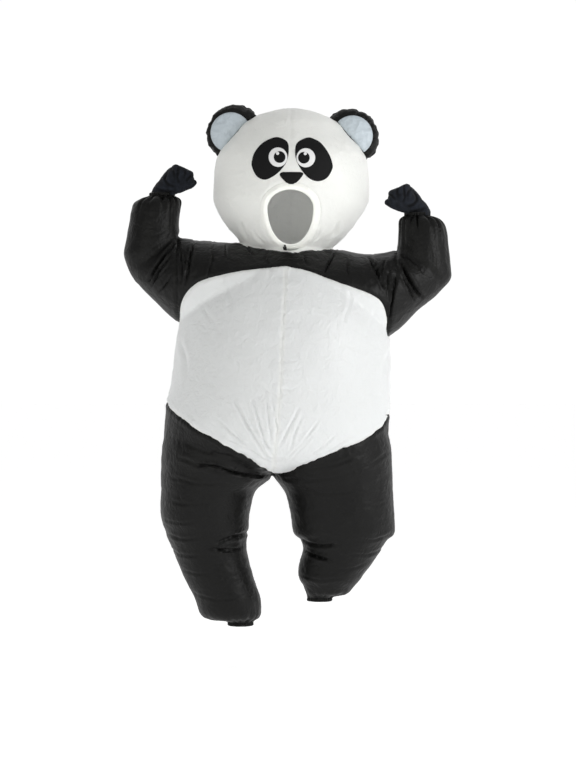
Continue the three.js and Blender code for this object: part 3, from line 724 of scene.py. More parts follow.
# Panel, outline, side, cloth, and its flat width, length and area in metres.
PANELS = (
    ("head_left_front", "head_left", "front", "white_nylon", 0.42, 0.58, 0.14),
    ("head_left_back", "head_left", "back", "white_nylon", 0.42, 0.58, 0.17),
    ("head_right_front", "head_right", "front", "white_nylon", 0.42, 0.58, 0.14),
    ("head_right_back", "head_right", "back", "white_nylon", 0.42, 0.58, 0.17),
    ("yoke_front", "yoke", "front", "black_nylon", 0.88, 0.36, 0.18),
    ("yoke_back", "yoke", "back", "black_nylon", 0.88, 0.36, 0.18),
    ("body_left_front", "body_left", "front", "white_nylon", 0.52, 0.72, 0.28),
    ("body_left_back", "body_left", "back", "white_nylon", 0.52, 0.72, 0.28),
    ("body_right_front", "body_right", "front", "white_nylon", 0.52, 0.72, 0.28),
    ("body_right_back", "body_right", "back", "white_nylon", 0.52, 0.72, 0.28),
    ("sleeve_left", "sleeve_left", "round", "black_nylon", 0.62, 0.44, 0.22),
    ("sleeve_right", "sleeve_right", "round", "black_nylon", 0.62, 0.44, 0.22),
    ("leg_left", "leg_left", "round", "black_nylon", 1.15, 0.72, 0.58),
    ("leg_right", "leg_right", "round", "black_nylon", 1.15, 0.64, 0.52),
)


def cut(sheet, height, allowed):
    """Cuts the faces of a bmesh along height = 0, where both ends of an edge are allowed."""
    sheet.verts.index_update()
    points = np.array([vertex.co[:] for vertex in sheet.verts]) / MM
    heights, open_here = height(points), allowed(points)
    heights[np.abs(heights) < 0.5] = 0
    edges = list(sheet.edges)
    ends = np.array([(edge.verts[0].index, edge.verts[1].index) for edge in edges])
    first, second = heights[ends[:, 0]], heights[ends[:, 1]]
    crossing = (first * second < 0) & open_here[ends[:, 0]] & open_here[ends[:, 1]]
    vertices = list(sheet.verts)
    on = {vertices[index] for index in np.nonzero((heights == 0) & open_here)[0]}
    for index in np.nonzero(crossing)[0]:
        edge = edges[index]
        share = first[index] / (first[index] - second[index])
        on.add(bmesh.utils.edge_split(edge, vertices[ends[index, 0]], float(share))[1])
    for face in {face for vertex in on for face in vertex.link_faces}:
        corners = list(face.verts)
        marked = [place for place, vertex in enumerate(corners) if vertex in on]
        for one in marked:
            other = next((place for place in marked
                          if place > one + 1 and not (one == 0 and place == len(corners) - 1)), None)
            if other is not None:
                bmesh.utils.face_split(face, corners[one], corners[other])
                break
    sheet.normal_update()


def cuffs():
    """Each cuff: name, which way the limb ends, middle, height where cloth meets elastic, half width, half depth."""
    for name, way in (("wrist_left", 1), ("wrist_right", 1), ("ankle_left", -1), ("ankle_right", -1)):
        low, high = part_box(name + "_elastic")
        yield (name, way, (low.x + high.x) / 2 / MM, (low.z if way > 0 else high.z) / MM,
               (high.x - low.x) / 2 / MM, (high.y - low.y) / 2 / MM)


def seam_strength(points):
    """How hard each seam point draws the cloth together."""
    x, z = points[:, 0], points[:, 2]
    strength = np.full(len(points), 1.0)
    strength[z > 122] = 0.45  # head
    strength[(z > 22) & (z < 122) & (np.abs(x) < 260)] = 1.25  # neck
    strength[(z < -22) & (z > -275) & (np.abs(x) < 345)] = 0.4  # top of the belly
    strength[(z < -560) & (z > -720)] = 1.35  # crotch
    strength[(np.abs(x + 12) < 30) & (z < -24) & (z > -640)] = 0.75  # middle of the belly
    strength[np.abs(points[:, 1]) < 4] *= 0.6  # sides
    return strength


def seam_depth(points):
    """How deep the groove of each seam point is: shallow where white cloth meets white."""
    x, y, z = points.T
    depth = np.full(len(points), 1.0)
    depth[(np.abs(x - 19) < 9) & (z > 48)] = 0.3  # middle of the head
    depth[(np.abs(x + 15) < 30) & (z < -24) & (z > -670)] = 0.35  # middle of the belly
    depth[(np.abs(y) < 4) & ((z > 130) | ((z < -120) & (z > -520)))] = 0.6  # sides of head and belly
    return depth


def add_gathers(height, points):
    """Gathers where cloth runs into the elastics."""
    for index, (_, way, x, z, _, _) in enumerate(cuffs()):
        reach = (z - points[:, 2]) * way
        limb = (np.abs(points[:, 0] - x) < 150) & (reach > -4) & (reach < 150)
        around = np.arctan2(points[:, 1], points[:, 0] - x)
        ring = np.stack([np.cos(around) * 60, np.sin(around) * 60, reach * 0.12], axis=1)
        narrow = ((1 - np.cos(14 * around + 6 * wander(ring, 45, 3.0 + index))) / 2) ** 3
        reaching = (29 if way > 0 else 15) * (1 + 1.3 * wander(ring, 24, 8.0 + index))
        fall = np.exp(-np.abs(reach) / reaching) * np.clip(reach / 9 + 0.35, 0.3, 1)
        height += np.where(limb, (8.0 if way > 0 else 5.0) * (0.35 - 1.7 * narrow) * fall, 0)


def add_folds(height, points, normals):
    """The folds of the table, each a trough with a roll beside it that fades towards its ends."""
    facing = {"front": np.clip(0.5 - normals[:, 1] * 1.4, 0, 1), "back": np.clip(0.5 + normals[:, 1] * 1.4, 0, 1),
              "both": np.ones(len(points))}
    share = -VIEWER[1] / (points[:, 1] - VIEWER[1])
    seen = np.stack([VIEWER[axis] + (points[:, axis] - VIEWER[axis]) * share for axis in (0, 2)], axis=1)
    for side, width, depth, rolls, line in FOLDS:
        line = smooth_line(line, 14)
        low, high = line.min(axis=0) - 4 * width, line.max(axis=0) + 4 * width
        plane = seen if side == "front" else points[:, [0, 2]]
        here = np.nonzero(((plane > low) & (plane < high)).all(axis=1) & (facing[side] > 0))[0]
        if not len(here):
            continue
        bent = plane[here] + 3.5 * np.stack([wander(points[here], 50, 20.0), wander(points[here], 50, 24.0)], axis=1)
        away, along = from_line(bent, line)
        ends = np.sin(np.pi * np.clip(along, 0.0, 1.0)) ** 0.55
        trough = -1.15 * depth * np.exp(-(away / (0.48 * width)) ** 2) * ends
        beside = 1.1 * rolls * np.exp(-((away - 1.0 * width) / (0.55 * width)) ** 2) * ends
        height[here] += (trough + beside) * facing[side][here]


def relief_of(points, normals, seams, black):
    """How far each point of the skin stands out, in millimetres: seams, puckers, gathers, folds and soft lumps."""
    # grooves, puckers and swags that run out from the nearest seam
    tree = KDTree(len(seams))
    for index, seam in enumerate(seams):
        tree.insert(seam, index)
    tree.balance()
    found = [tree.find(point) for point in points]
    gap = np.array([hit[2] for hit in found])
    nearest = seams[[hit[1] for hit in found]]
    pull = seam_strength(nearest)
    mixed = nearest * 0.9 + points * 0.1
    shallow = seam_depth(nearest)
    height = shallow * (-2.6 * np.exp(-(gap / 5.5) ** 2) + 1.2 * np.exp(-((gap - 12) / 8) ** 2))
    fine, broad = wander(mixed, 13, 3.3), wander(mixed, 34, 8.1)
    height += pull * (2.6 * fine * np.exp(-gap / 15) + 4.2 * broad * np.exp(-gap / 48))
    height += pull * 1.5 * wander(nearest * 0.8 + points * 0.2, 70, 5.2) * np.exp(-gap / 95)
    # soft lumps and light crumples all over
    warped = points + 9 * np.stack([wander(points, 60, 1.7), wander(points, 60, 6.9), wander(points, 60, 11.3)], axis=1)
    height += 2.6 * wander(points, 165, 2.4) + 1.1 * wander(points, 74, 4.6)
    creased = 0.28 - np.abs(wander(warped, 44, 9.7))
    height += np.where(black, 1.5, 1.3) * creased * (0.55 + 0.9 * np.clip(wander(points, 120, 7.7) + 0.4, 0, 1))
    height += np.where(black, 0.5, 0.4) * wander(warped, 21, 12.1)
    # cross wrinkles down the sides of the legs, where the cloth drops on itself
    side = np.clip(np.abs(normals[:, 0]) * 1.6 - 0.5, 0, 1) * np.clip((-520 - points[:, 2]) / 80, 0, 1)
    height += side * 0.9 * wander(warped * np.array([0.3, 0.3, 1.0]), 15, 14.5)
    add_gathers(height, points)
    add_folds(height, points, normals)
    return height, gap


def sew_skin():
    """Blends the tubes to one skin, cuts it along its seams and openings, and moulds its folds."""
    parts = [tube(upright(rows)) for rows in (TORSO, HEAD, FOREARM_LEFT, FOREARM_RIGHT, THIGH_LEFT, THIGH_RIGHT,
                                              SHIN_LEFT, SHIN_RIGHT)] + [tube(level(SHOULDERS))]
    whole = blended("skin", parts, SKIN_VOXEL, SKIN_ROUNDS)
    sheet = opened(whole)
    bpy.data.objects.remove(whole)
    outlines = panel_outlines()
    for name in ("sleeve_left", "sleeve_right", "leg_left", "leg_right", "yoke", "body_left", "head_left"):
        outline = outlines[name]
        cut(sheet, lambda points: inside(points[:, [0, 2]], outline), everywhere)
    limbs = [outlines[name] for name in ("sleeve_left", "sleeve_right", "leg_left", "leg_right")]
    cut(sheet, lambda points: points[:, 1].copy(),
        lambda points: np.all([inside(points[:, [0, 2]], limb) < 0.6 for limb in limbs], axis=0))
    hole = face_outline(BAND_WIDTH - BAND_LAP)
    cut(sheet, lambda points: inside(points[:, [0, 2]], hole), lambda points: points[:, 1] < FACE_FRONT)
    ends = list(cuffs())
    for _, _, x, z, _, _ in ends:
        cut(sheet, lambda points: points[:, 2] - z,
            lambda points: (np.abs(points[:, 0] - x) < 130) & (np.abs(points[:, 2] - z) < 25))
    middles = places_of(sheet)
    gone = encloses(middles[:, [0, 2]], hole) & (middles[:, 1] < FACE_FRONT)
    for _, way, x, z, _, _ in ends:
        past = (middles[:, 2] - z) * way
        gone |= (np.abs(middles[:, 0] - x) < 130) & (past > 0) & (past < 60)
    drop_faces(sheet, gone)
    middles = middles[~gone]
    sheet.faces.index_update()
    sheet.verts.index_update()
    sheet.normal_update()
    owner = np.full(len(middles), -1)
    within = {name: encloses(middles[:, [0, 2]], outline) for name, outline in outlines.items()}
    for index, (_, outline, side, _, _, _, _) in enumerate(PANELS):
        here = within[outline].copy()
        if side != "round":
            here &= (middles[:, 1] < 0) if side == "front" else (middles[:, 1] >= 0)
        owner[here] = index
    points = np.array([vertex.co[:] for vertex in sheet.verts]) / MM
    normals = np.array([vertex.normal[:] for vertex in sheet.verts])
    corner_lists = [[vertex.index for vertex in face.verts] for face in sheet.faces]
    least, most = np.full(len(points), 99), np.full(len(points), -99)
    for corners, panel in zip(corner_lists, owner):
        for corner in corners:
            least[corner] = min(least[corner], panel)
            most[corner] = max(most[corner], panel)
    rims = np.array([vertex.is_boundary for vertex in sheet.verts])
    sheet.free()
    black = np.zeros(len(points), bool)
    for corners, panel in zip(corner_lists, owner):
        if panel >= 0 and PANELS[panel][3] == "black_nylon":
            black[corners] = True
    seams = points[(least != most) | (rims & (points[:, 2] > 25) & (points[:, 1] < FACE_FRONT))]
    seams = np.vstack([seams, ear_root_seams()])
    height, gap = relief_of(points, normals, seams, black)
    moved = (points + normals * height[:, None]) * MM
    return moved, corner_lists, owner, gap * MM


class PANDA_OT_suit_panels(bpy.types.Operator):
    """Cuts and sews the head, yoke, body, sleeve and leg panels of the suit"""
    bl_idname = "panda.suit_panels"
    bl_label = "Suit panels"

    def execute(self, context):
        points, corner_lists, owner, gap = sew_skin()
        wall = context.scene.panda_sizes.cloth_thickness
        if (owner < 0).any():
            raise RuntimeError("some of the skin belongs to no panel")
        for index, (name, _, _, slot, width, length, area) in enumerate(PANELS):
            chosen = [corner_lists[face] for face in np.nonzero(owner == index)[0]]
            used = sorted({corner for corners in chosen for corner in corners})
            new_place = {corner: place for place, corner in enumerate(used)}
            panel = mesh_piece("cloth_" + name, points[used],
                               [[new_place[corner] for corner in corners] for corners in chosen])
            mark(panel, "seam", gap[used])
            thicken(panel, "cloth", wall)
            panel.data.set_sharp_from_angle(angle=SHARP_RIM)
            hand_in(panel, slot, name)
        return {"FINISHED"}


# ---------------------------------------------------------------- pieces on the head
def head_form():
    """The head's plain form, without its folds."""
    points, faces = tube(upright(HEAD), around=96, step=7)
    return BVHTree.FromPolygons([tuple(point) for point in points], faces)


def sewn_head():
    """The outer side of the finished head, to lay sewn pieces on."""
    parts = []
    for name in ("head_left_front", "head_right_front"):
        mesh = bpy.data.objects["cloth_" + name].data
        parts.append(([tuple(vertex.co) for vertex in mesh.vertices], [tuple(face.vertices) for face in mesh.polygons]))
    return BVHTree.FromPolygons(*gather(parts))


def laid_on(forms, x, z, seen=False):
    """Place and outward direction on the first form met, straight back or, if seen, from the viewpoint."""
    start = Vector(VIEWER) * MM if seen else Vector((x * MM, -1, z * MM))
    for form in forms:
        place, normal, _, _ = form.ray_cast(start, (Vector((x * MM, 0, z * MM)) - start).normalized())
        if place is not None:
            return place, (normal if normal.y < 0 else -normal)
    raise RuntimeError("nothing to lay a piece on at %.0f, %.0f" % (x, z))


def soft_outline(points, count=72):
    """A closed smooth outline through points on the front view."""
    table = np.array(points, float)
    line = []
    for index in range(len(table)):
        four = [table[(index + shift) % len(table)] for shift in (-1, 0, 1, 2)]
        line += [between(*four, share) for share in np.linspace(0, 1, 9)[:-1]]
    line = np.array(line + line[:1])
    lengths = np.concatenate([[0], np.cumsum(np.linalg.norm(np.diff(line, axis=0), axis=1))])
    at = np.linspace(0, lengths[-1], count + 1)[:-1]
    return np.stack([np.interp(at, lengths, line[:, axis]) for axis in (0, 1)], axis=1)


def round_outline(x, z, wide, high=None, tilt=0.0, count=64):
    high = high or wide
    angle = np.linspace(0, 2 * math.pi, count, endpoint=False)
    lean = math.radians(tilt)
    across, up = wide * np.cos(angle), high * np.sin(angle)
    return np.stack([x + across * math.cos(lean) - up * math.sin(lean),
                     z + across * math.sin(lean) + up * math.cos(lean)], axis=1)


def patch(forms, outline, rise, crown=0.0, base=-0.5, seen=False, crinkle=0.0):
    """A thin cloth shape on the head: points and faces of its closed mesh, and how far each point is from its edge."""
    middle = outline.mean(axis=0)
    size = np.linalg.norm(outline - middle, axis=1).mean()
    edge = 1.5 / size
    shares = list(np.linspace(0.0, 1 - 2.6 * edge, max(4, int(size / 4.5)))) + [1 - 1.7 * edge, 1 - 0.9 * edge,
                                                                                 1 - 0.35 * edge, 1.0]
    lifts = [rise + crown * (1 - share ** 2) for share in shares]
    lifts[-3:] = [rise, rise * 0.93, rise * 0.45]
    rings = [(share, lift) for share, lift in zip(shares, lifts)] + [(1.0, base), (0.55, base), (0.0, base)]
    points, faces, gaps = [], [], []
    count = len(outline)
    for share, lift in rings:
        spots = [middle] if share == 0 else middle + share * (outline - middle)
        for spot in spots:
            place, normal = laid_on(forms, *spot, seen=seen)
            wave = crinkle * (1 - share ** 6) * (0.6 - 2 * abs(noise.noise(Vector((spot[0] / 26, spot[1] / 26, size)))))
            points.append(place + normal * (lift + (wave if lift > 0 else 0)) * MM)
            gaps.append((1 - share) * size * MM)
    starts = np.cumsum([0] + [1 if share == 0 else count for share, _ in rings])
    for ring in range(len(rings) - 1):
        a, b = starts[ring], starts[ring + 1]
        for turn in range(count):
            after = (turn + 1) % count
            if rings[ring][0] == 0:
                faces.append((a, b + turn, b + after))
            elif rings[ring + 1][0] == 0:
                faces.append((a + after, a + turn, b))
            else:
                faces.append((a + turn, b + turn, b + after, a + after))
    return points, faces, gaps


def outward(piece):
    """Points every face of a closed mesh outwards."""
    sheet = opened(piece)
    bmesh.ops.recalc_face_normals(sheet, faces=sheet.faces)
    put_back(sheet, piece)


class PANDA_OT_face_band(bpy.types.Operator):
    """Sews the padded band round the face opening, with its edge rolled in"""
    bl_idname = "panda.face_band"
    bl_label = "Face band"

    def execute(self, context):
        rise = context.scene.panda_sizes.band_padding / MM
        form = [head_form()]
        # distance out from the opening, height over the head
        section = ((23.4, -2.6), (22.6, 0.2), (21.2, 1.6), (19.6, 2.3), (18.2, 1.9), (16.5, 0.8 * rise),
                   (12.5, rise + 0.6), (8.0, rise + 0.4), (4.6, 0.8 * rise), (3.2, 0.55 * rise), (2.0, 0.6 * rise),
                   (0.4, 0.3 * rise), (-0.4, -1.5), (0.2, -5), (2.2, -8.5), (6.0, -9.5), (7.0, -8.0), (3.4, -5.5),
                   (6.0, -2.6), (14, -2.4))
        count = 200
        lines = [face_outline(grown, count) for grown, _ in section]
        points, gaps = [], []
        for turn in range(count):
            spot = lines[6][turn]
            wave = noise.noise(Vector((spot[0] / 15, spot[1] / 15, 3.1)))
            slow = noise.noise(Vector((spot[0] / 42, spot[1] / 42, 7.7)))
            for index, (grown, lift) in enumerate(section):
                place, normal = laid_on(form, *lines[index][turn])
                inward = Vector((0, 1, 0)) if lift < -3 else -normal
                pinch = math.exp(-((grown - 18.5) / 4) ** 2) * wave * 1.3 + (slow * 1.1 + wave * 0.5 if lift > 0 else 0)
                points.append(place - inward * (lift + pinch) * MM)
                gaps.append(max(0.0, 20.5 - grown) * MM)
        band = mesh_piece("cloth_face_band", points, hoop_faces(count, len(section)))
        outward(band)
        mark(band, "seam", gaps)
        hand_in(band, "white_nylon", "face_band")
        return {"FINISHED"}


class PANDA_OT_zip_end(bpy.types.Operator):
    """Sets the top end of the front zip, with its tape, teeth, closed slider and pull, in the band under the chin"""
    bl_idname = "panda.zip_end"
    bl_label = "Zip end"

    def execute(self, context):
        form = [head_form()]
        made = []
        deselect()

        def block(x, z, out, size, bevel):
            place, normal = laid_on(form, x, z)
            bpy.ops.mesh.primitive_cube_add(size=1, location=place + normal * out * MM,
                                            rotation=normal.to_track_quat("Z", "Y").to_euler())
            piece = context.object
            piece.scale = [part * MM for part in size]
            bpy.ops.object.transform_apply(location=False, rotation=False, scale=True)
            edge = piece.modifiers.new("edge", "BEVEL")
            edge.width, edge.segments = bevel * MM, 2
            apply_all(piece)
            made.append(piece)

        middle, tooth_pitch, teeth = -3, 1.9, 9
        # the two tapes, the teeth that mesh between them, and the slider, its bridge and its pull
        for x in (middle - 3.2, middle + 3.2):
            block(x, 46.5, 5.2, (4.6, 20, 1.0), 0.4)
        for index in range(teeth):
            block(middle + (-0.6 if index % 2 else 0.6), 38.6 + tooth_pitch * index, 6.0, (2.6, 1.2, 1.4), 0.35)
        block(middle, 56, 6.6, (6.4, 6.6, 3.4), 1.0)
        block(middle, 57.3, 8.6, (2.2, 3.8, 1.8), 0.7)
        block(middle, 49.2, 8.9, (4.2, 12.0, 1.1), 0.5)
        for piece in made:
            piece.select_set(True)
        context.view_layer.objects.active = made[0]
        bpy.ops.object.join()
        piece = context.object
        piece.name = "zip_end_trim"
        bpy.ops.object.transform_apply(location=True, rotation=True, scale=True)
        hand_in(piece, "black_zip", "zip_end")
        deselect()
        return {"FINISHED"}


def lobe_point(ear, angle, share, side):
    """A point of an ear's plain lobe, side -1 in front and 1 behind, in millimetres."""
    _, x, z, radius, deep, _, _ = ear
    return np.array([x + radius * share * math.cos(angle), side * deep * math.sqrt(max(0.0, 1 - share ** 2)),
                     z + radius * share * math.sin(angle)])


def ear_root_seams():
    """Points of the head where the ears are sewn in."""
    form = head_form()
    points = []
    for ear in EARS:
        for angle in np.linspace(0, 2 * math.pi, 150, endpoint=False):
            for share in np.sin(np.linspace(0.02, math.pi / 2, 46)):
                for side in (-1, 1):
                    point = lobe_point(ear, angle, share, side)
                    if abs(off_head(form, point)) < 0.9:
                        points.append(point)
    return np.array(points)


def off_head(form, point):
    """How far a point stands off the head's plain form, in millimetres."""
    place, normal, _, _ = form.find_nearest(Vector(point * MM))
    return (Vector(point * MM) - place).dot(normal) / MM


def ear_lobe(number, ear, form, around=132, levels=34):
    """The puffed and gathered lobe of an ear: points in millimetres, faces, and each point's distance from a seam."""
    _, x, z, radius, deep, panel_x, panel_z = ear
    points, faces, gaps = [], [], []
    for side in (-1, 1):
        for level_index, share in enumerate(np.sin(np.linspace(0, math.pi / 2, levels))):
            if level_index == levels - 1 and side == 1:
                break
            for turn in range(around if level_index else 1):
                angle = 2 * math.pi * turn / around
                across, up = math.cos(angle), math.sin(angle)
                point = lobe_point(ear, angle, share, side)
                away = math.hypot(point[0] - panel_x, point[2] - panel_z)
                root = off_head(form, point)
                wave = noise.noise(Vector((across * 3.6, up * 3.6, 5.0 * number + 0.4 * side)))
                ripple = noise.noise(Vector((across * 8.5, up * 8.5, 9.0 * number)))
                out = 3.4 * wave * math.exp(-((share - 0.93) / 0.22) ** 2)
                out += 2.4 * ripple * math.exp(-((share - 0.9) / 0.16) ** 2)
                out += 4.5 * ripple * math.exp(-abs(root) / 14)
                out -= 2.2 * math.exp(-abs(root) / 5)
                if side < 0:
                    off_seam = away - EAR_PANEL_SEAM
                    out += -2.8 * math.exp(-(off_seam / 4.2) ** 2) + 1.6 * math.exp(-((away - 77) / 7) ** 2)
                    out += 2.2 * ripple * math.exp(-abs(off_seam) / 8) * (1 if away > 62 else 0.6)
                out += 1.8 * noise.noise(Vector(point / 34)) + 0.9 * noise.noise(Vector(point / 15))
                if side < 0 and away < EAR_PANEL_RADIUS:
                    out = min(out, -2.5 - 2 * min(1, (EAR_PANEL_RADIUS - away) / 6))
                rim = 1.5 * wave + 2.0 * ripple if share > 0.96 else 0
                flat = Vector((point[0] - x, point[1] * (radius / deep) ** 2, point[2] - z))
                facing = flat.normalized() if flat.length > 1e-6 else Vector((0, side, 0))
                points.append(Vector(point) + facing * (out + rim))
                seam = abs(away - EAR_PANEL_SEAM) if side < 0 else 99
                gaps.append(min(seam, abs(root), (1 - share) * radius + 2) * MM)
    # the front's poles and rings, then the back's, which shares the front's outer ring
    back = 1 + (levels - 1) * around
    for base, flip, rings in ((0, False, levels - 1), (back, True, levels - 2)):
        new = []
        for turn in range(around):
            after = (turn + 1) % around
            new.append((base, base + 1 + after, base + 1 + turn))
        for ring in range(rings - 1):
            a, b = base + 1 + ring * around, base + 1 + (ring + 1) * around
            new += [(a + turn, a + (turn + 1) % around, b + (turn + 1) % around, b + turn) for turn in range(around)]
        faces += [face[::-1] if flip else face for face in new]
    outer, inner = 1 + (levels - 2) * around, back + 1 + (levels - 3) * around
    for turn in range(around):
        after = (turn + 1) % around
        faces.append((outer + turn, outer + after, inner + after, inner + turn))
    return points, faces, gaps


def plain_lobe(ear, around=96, rings=30):
    """The front of an ear's plain lobe, to lay its panel on."""
    points = [tuple(lobe_point(ear, 2 * math.pi * turn / around, share, -1) * MM)
              for share in np.sin(np.linspace(0.01, math.pi / 2, rings)) for turn in range(around)]
    return BVHTree.FromPolygons(points, [
        (ring * around + turn, ring * around + (turn + 1) % around, (ring + 1) * around + (turn + 1) % around,
         (ring + 1) * around + turn) for ring in range(rings - 1) for turn in range(around)])


def clear_of_head(outline, form, surface):
    """Draws an ear panel's outline in to where the ear comes out of the head."""
    middle = outline.mean(axis=0)
    kept = []
    for point in outline:
        share = 1.0
        while share > 0.05:
            x, z = middle + share * (point - middle)
            ear_place, head_place = (shape.ray_cast(Vector((x * MM, -1, z * MM)), Vector((0, 1, 0)))[0]
                                     for shape in (surface, form))
            if ear_place is not None and (head_place is None or ear_place.y < head_place.y + 3 * MM):
                break
            share -= 0.02
        kept.append(middle + share * (point - middle))
    return np.array(kept)


class PANDA_OT_ears(bpy.types.Operator):
    """Sews the two round ears with their gathered rims and grey front panels"""
    bl_idname = "panda.ears"
    bl_label = "Ears"

    def execute(self, context):
        form = head_form()

        def over_head(spots):
            return np.array([off_head(form, spot) for spot in spots]) + EAR_TUCK

        for number, ear in enumerate(EARS):
            side_name, panel_x, panel_z = ear[0], ear[5], ear[6]
            points, faces, gaps = ear_lobe(number, ear, form)
            lobe = mesh_piece("cloth_ear_" + side_name, [point * MM for point in points], faces)
            outward(lobe)
            mark(lobe, "seam", gaps)
            sheet = opened(lobe)
            cut(sheet, over_head, everywhere)
            drop_faces(sheet, over_head(places_of(sheet)) < 0)
            put_back(sheet, lobe)
            shade_smooth(lobe.data)
            thicken(lobe, "cloth", EAR_WALL)
            hand_in(lobe, "black_nylon", "ear_" + side_name)
            surface = plain_lobe(ear)
            outline = clear_of_head(round_outline(panel_x, panel_z, EAR_PANEL_RADIUS, count=110), form, surface)
            points, faces, gaps = patch([surface, form], outline, 0.6, 2.6, -1.6, crinkle=3.6)
            panel = mesh_piece("cloth_ear_panel_" + side_name, points, faces)
            outward(panel)
            mark(panel, "seam", gaps)
            hand_in(panel, "grey_nylon", "ear_panel_" + side_name)
        return {"FINISHED"}


EYE_PATCHES = {
    "left": ((-26, 418), (4, 403), (9, 373), (2, 337), (-21, 306), (-46, 287), (-71, 278), (-96, 289), (-111, 317),
             (-113, 337), (-104, 367), (-82, 395), (-54, 412)),
    "right": ((71, 417), (93, 412), (116, 398), (141, 364), (153, 331), (152, 312), (135, 284), (107, 273), (79, 281),
              (54, 306), (35, 340), (30, 373), (38, 401)),
}
EYES = {"left": ((-26, 352, 31, 32, 8), (-20.6, 352, 19.5), (-27, 364)),
        "right": ((65, 350, 31, 31.5, 0), (58.6, 350, 19.5), (63, 363))}
NOSE = ((-12, 302.8), (4, 303.4), (20, 303.6), (36, 303.4), (50, 302.8), (57, 299), (54, 291), (44, 278), (31, 267),
        (17, 261.5), (4, 267), (-8, 277), (-19, 290), (-20, 298))


class PANDA_OT_face(bpy.types.Operator):
    """Sews the eye patches, eye whites, pupils with their highlights, and the nose on the head"""
    bl_idname = "panda.face"
    bl_label = "Eyes and nose"

    def execute(self, context):
        forms = [sewn_head(), head_form()]

        def sew(name, node, slot, layers):
            points, faces, gaps = [], [], []
            for outline, rise, crown in layers:
                new_points, new_faces, new_gaps = patch(forms, outline, rise, crown, seen=True, crinkle=0.5)
                faces += [tuple(index + len(points) for index in face) for face in new_faces]
                points += new_points
                gaps += new_gaps
            piece = mesh_piece(name, points, faces)
            outward(piece)
            mark(piece, "seam", gaps)
            hand_in(piece, slot, node)

        for side in ("left", "right"):
            (white_x, white_z, wide, high, tilt), (pupil_x, pupil_z, pupil), (light_x, light_z) = EYES[side]
            sew("cloth_eye_patch_" + side, "eye_patch_" + side, "black_applique",
                [(soft_outline(EYE_PATCHES[side], 96), 1.5, 0.5)])
            sew("cloth_eye_white_" + side, "eye_white_" + side, "white_applique",
                [(round_outline(white_x, white_z, wide, high, tilt), 2.7, 0.3),
                 (round_outline(light_x, light_z, 5.6, 5.6, 0, 28), 4.6, 0)])
            sew("cloth_pupil_" + side, "pupil_" + side, "black_applique",
                [(round_outline(pupil_x, pupil_z, pupil), 3.7, 0.2)])
        sew("cloth_nose", "nose", "black_applique", [(soft_outline(NOSE, 80), 2.0, 2.2)])
        return {"FINISHED"}


# ---------------------------------------------------------------- elastics and gloves
class PANDA_OT_elastics(bpy.types.Operator):
    """Sews the gathered elastic casings at the wrists and ankles"""
    bl_idname = "panda.elastics"
    bl_label = "Elastics"

    def execute(self, context):
        for number, (name, way, x, z, half, deep) in enumerate(cuffs()):
            low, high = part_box(name + "_elastic")
            length = (high.z - low.z) / MM
            # out from the casing's outer size, and place along it from the limb
            section = ((-3.4, -0.04), (-0.9, 0.0), (0.9, 0.1), (1.5, 0.22), (0.9, 0.36), (-0.2, 0.42), (0.9, 0.48),
                       (1.5, 0.6), (1.2, 0.78), (0.3, 0.94), (-1.6, 1.02), (-3.4, 0.98), (-4.2, 0.5))
            count = 240
            points, gaps = [], []
            for turn in range(count):
                angle = 2 * math.pi * turn / count
                slow = noise.noise(Vector((math.cos(angle) * 2.2, math.sin(angle) * 2.2, 4.0 * number)))
                wave = math.cos(28 * angle + 6 * slow) * (0.8 + slow)
                for out, share in section:
                    outside = out > -3
                    swell = 1.5 * (0.5 + 0.5 * math.sin(math.pi * min(1, max(0, share)))) if outside else 0.3
                    grown = out - (2.8 if outside else 1.4) + swell * wave
                    points.append(Vector(((x + (half + grown) * math.cos(angle)) * MM,
                                          (deep + grown) * math.sin(angle) * MM,
                                          (z + way * (share * length + 0.5 * slow)) * MM)))
                    gaps.append((2.0 if 0.3 < share < 0.54 else 9.0) * MM)
            casing = mesh_piece("cloth_" + name + "_elastic", points, hoop_faces(count, len(section)))
            outward(casing)
            mark(casing, "seam", gaps)
            hand_in(casing, "black_nylon", name + "_elastic")
        return {"FINISHED"}


def rounded(start, end, first, last, around=20):
    """A closed finger from one round end to the other, in millimetres."""
    start, end = Vector(start), Vector(end)
    axis = (end - start).normalized()
    across = axis.orthogonal().normalized()
    beside = axis.cross(across)
    rings = [(start, first, turn) for turn in (-80, -55, -30, 0)] + [(end, last, turn) for turn in (0, 30, 55, 80)]
    points = []
    for middle, radius, turn in rings:
        lean = math.radians(turn)
        for step in range(around):
            angle = 2 * math.pi * step / around
            points.append((middle + axis * radius * math.sin(lean)
                           + (across * math.cos(angle) + beside * math.sin(angle)) * radius * math.cos(lean)) * MM)
    return points, tube_faces(len(rings), around)


# The hand inside its glove, left side: place, height, half width, half depth and tilt from cuff to knuckles.
PALM = ((-409, 200, 34, 33, 0), (-408, 228, 37, 35, -6), (-394, 246, 42, 38, -14), (-375, 260, 45, 41, -24),
        (-357, 277, 48, 44, -33), (-347, 291, 44, 42, -38), (-340, 301, 28, 32, -40))
# Each finger: depth, knuckle, middle joint, fold, tip and thickness.
FINGERS = ((-35, (-360, 311), (-318, 290), (-315, 267), (-337, 256), 13.0),
           (-12, (-364, 314), (-317, 293), (-314, 268), (-336, 255), 13.4),
           (11, (-366, 313), (-318, 293), (-315, 268), (-336, 256), 13.2),
           (33, (-364, 308), (-324, 289), (-321, 267), (-340, 257), 11.8))
THUMB = (((-388, -16, 240), (-352, -30, 243)), ((-352, -30, 243), (-318, -30, 256)),
         ((-318, -30, 256), (-302, -24, 266)))
# What the folded fingers close on.
CORES = (((-352, -24, 285), (-336, -24, 272)), ((-352, 0, 285), (-336, 0, 272)), ((-352, 24, 285), (-338, 22, 272)))
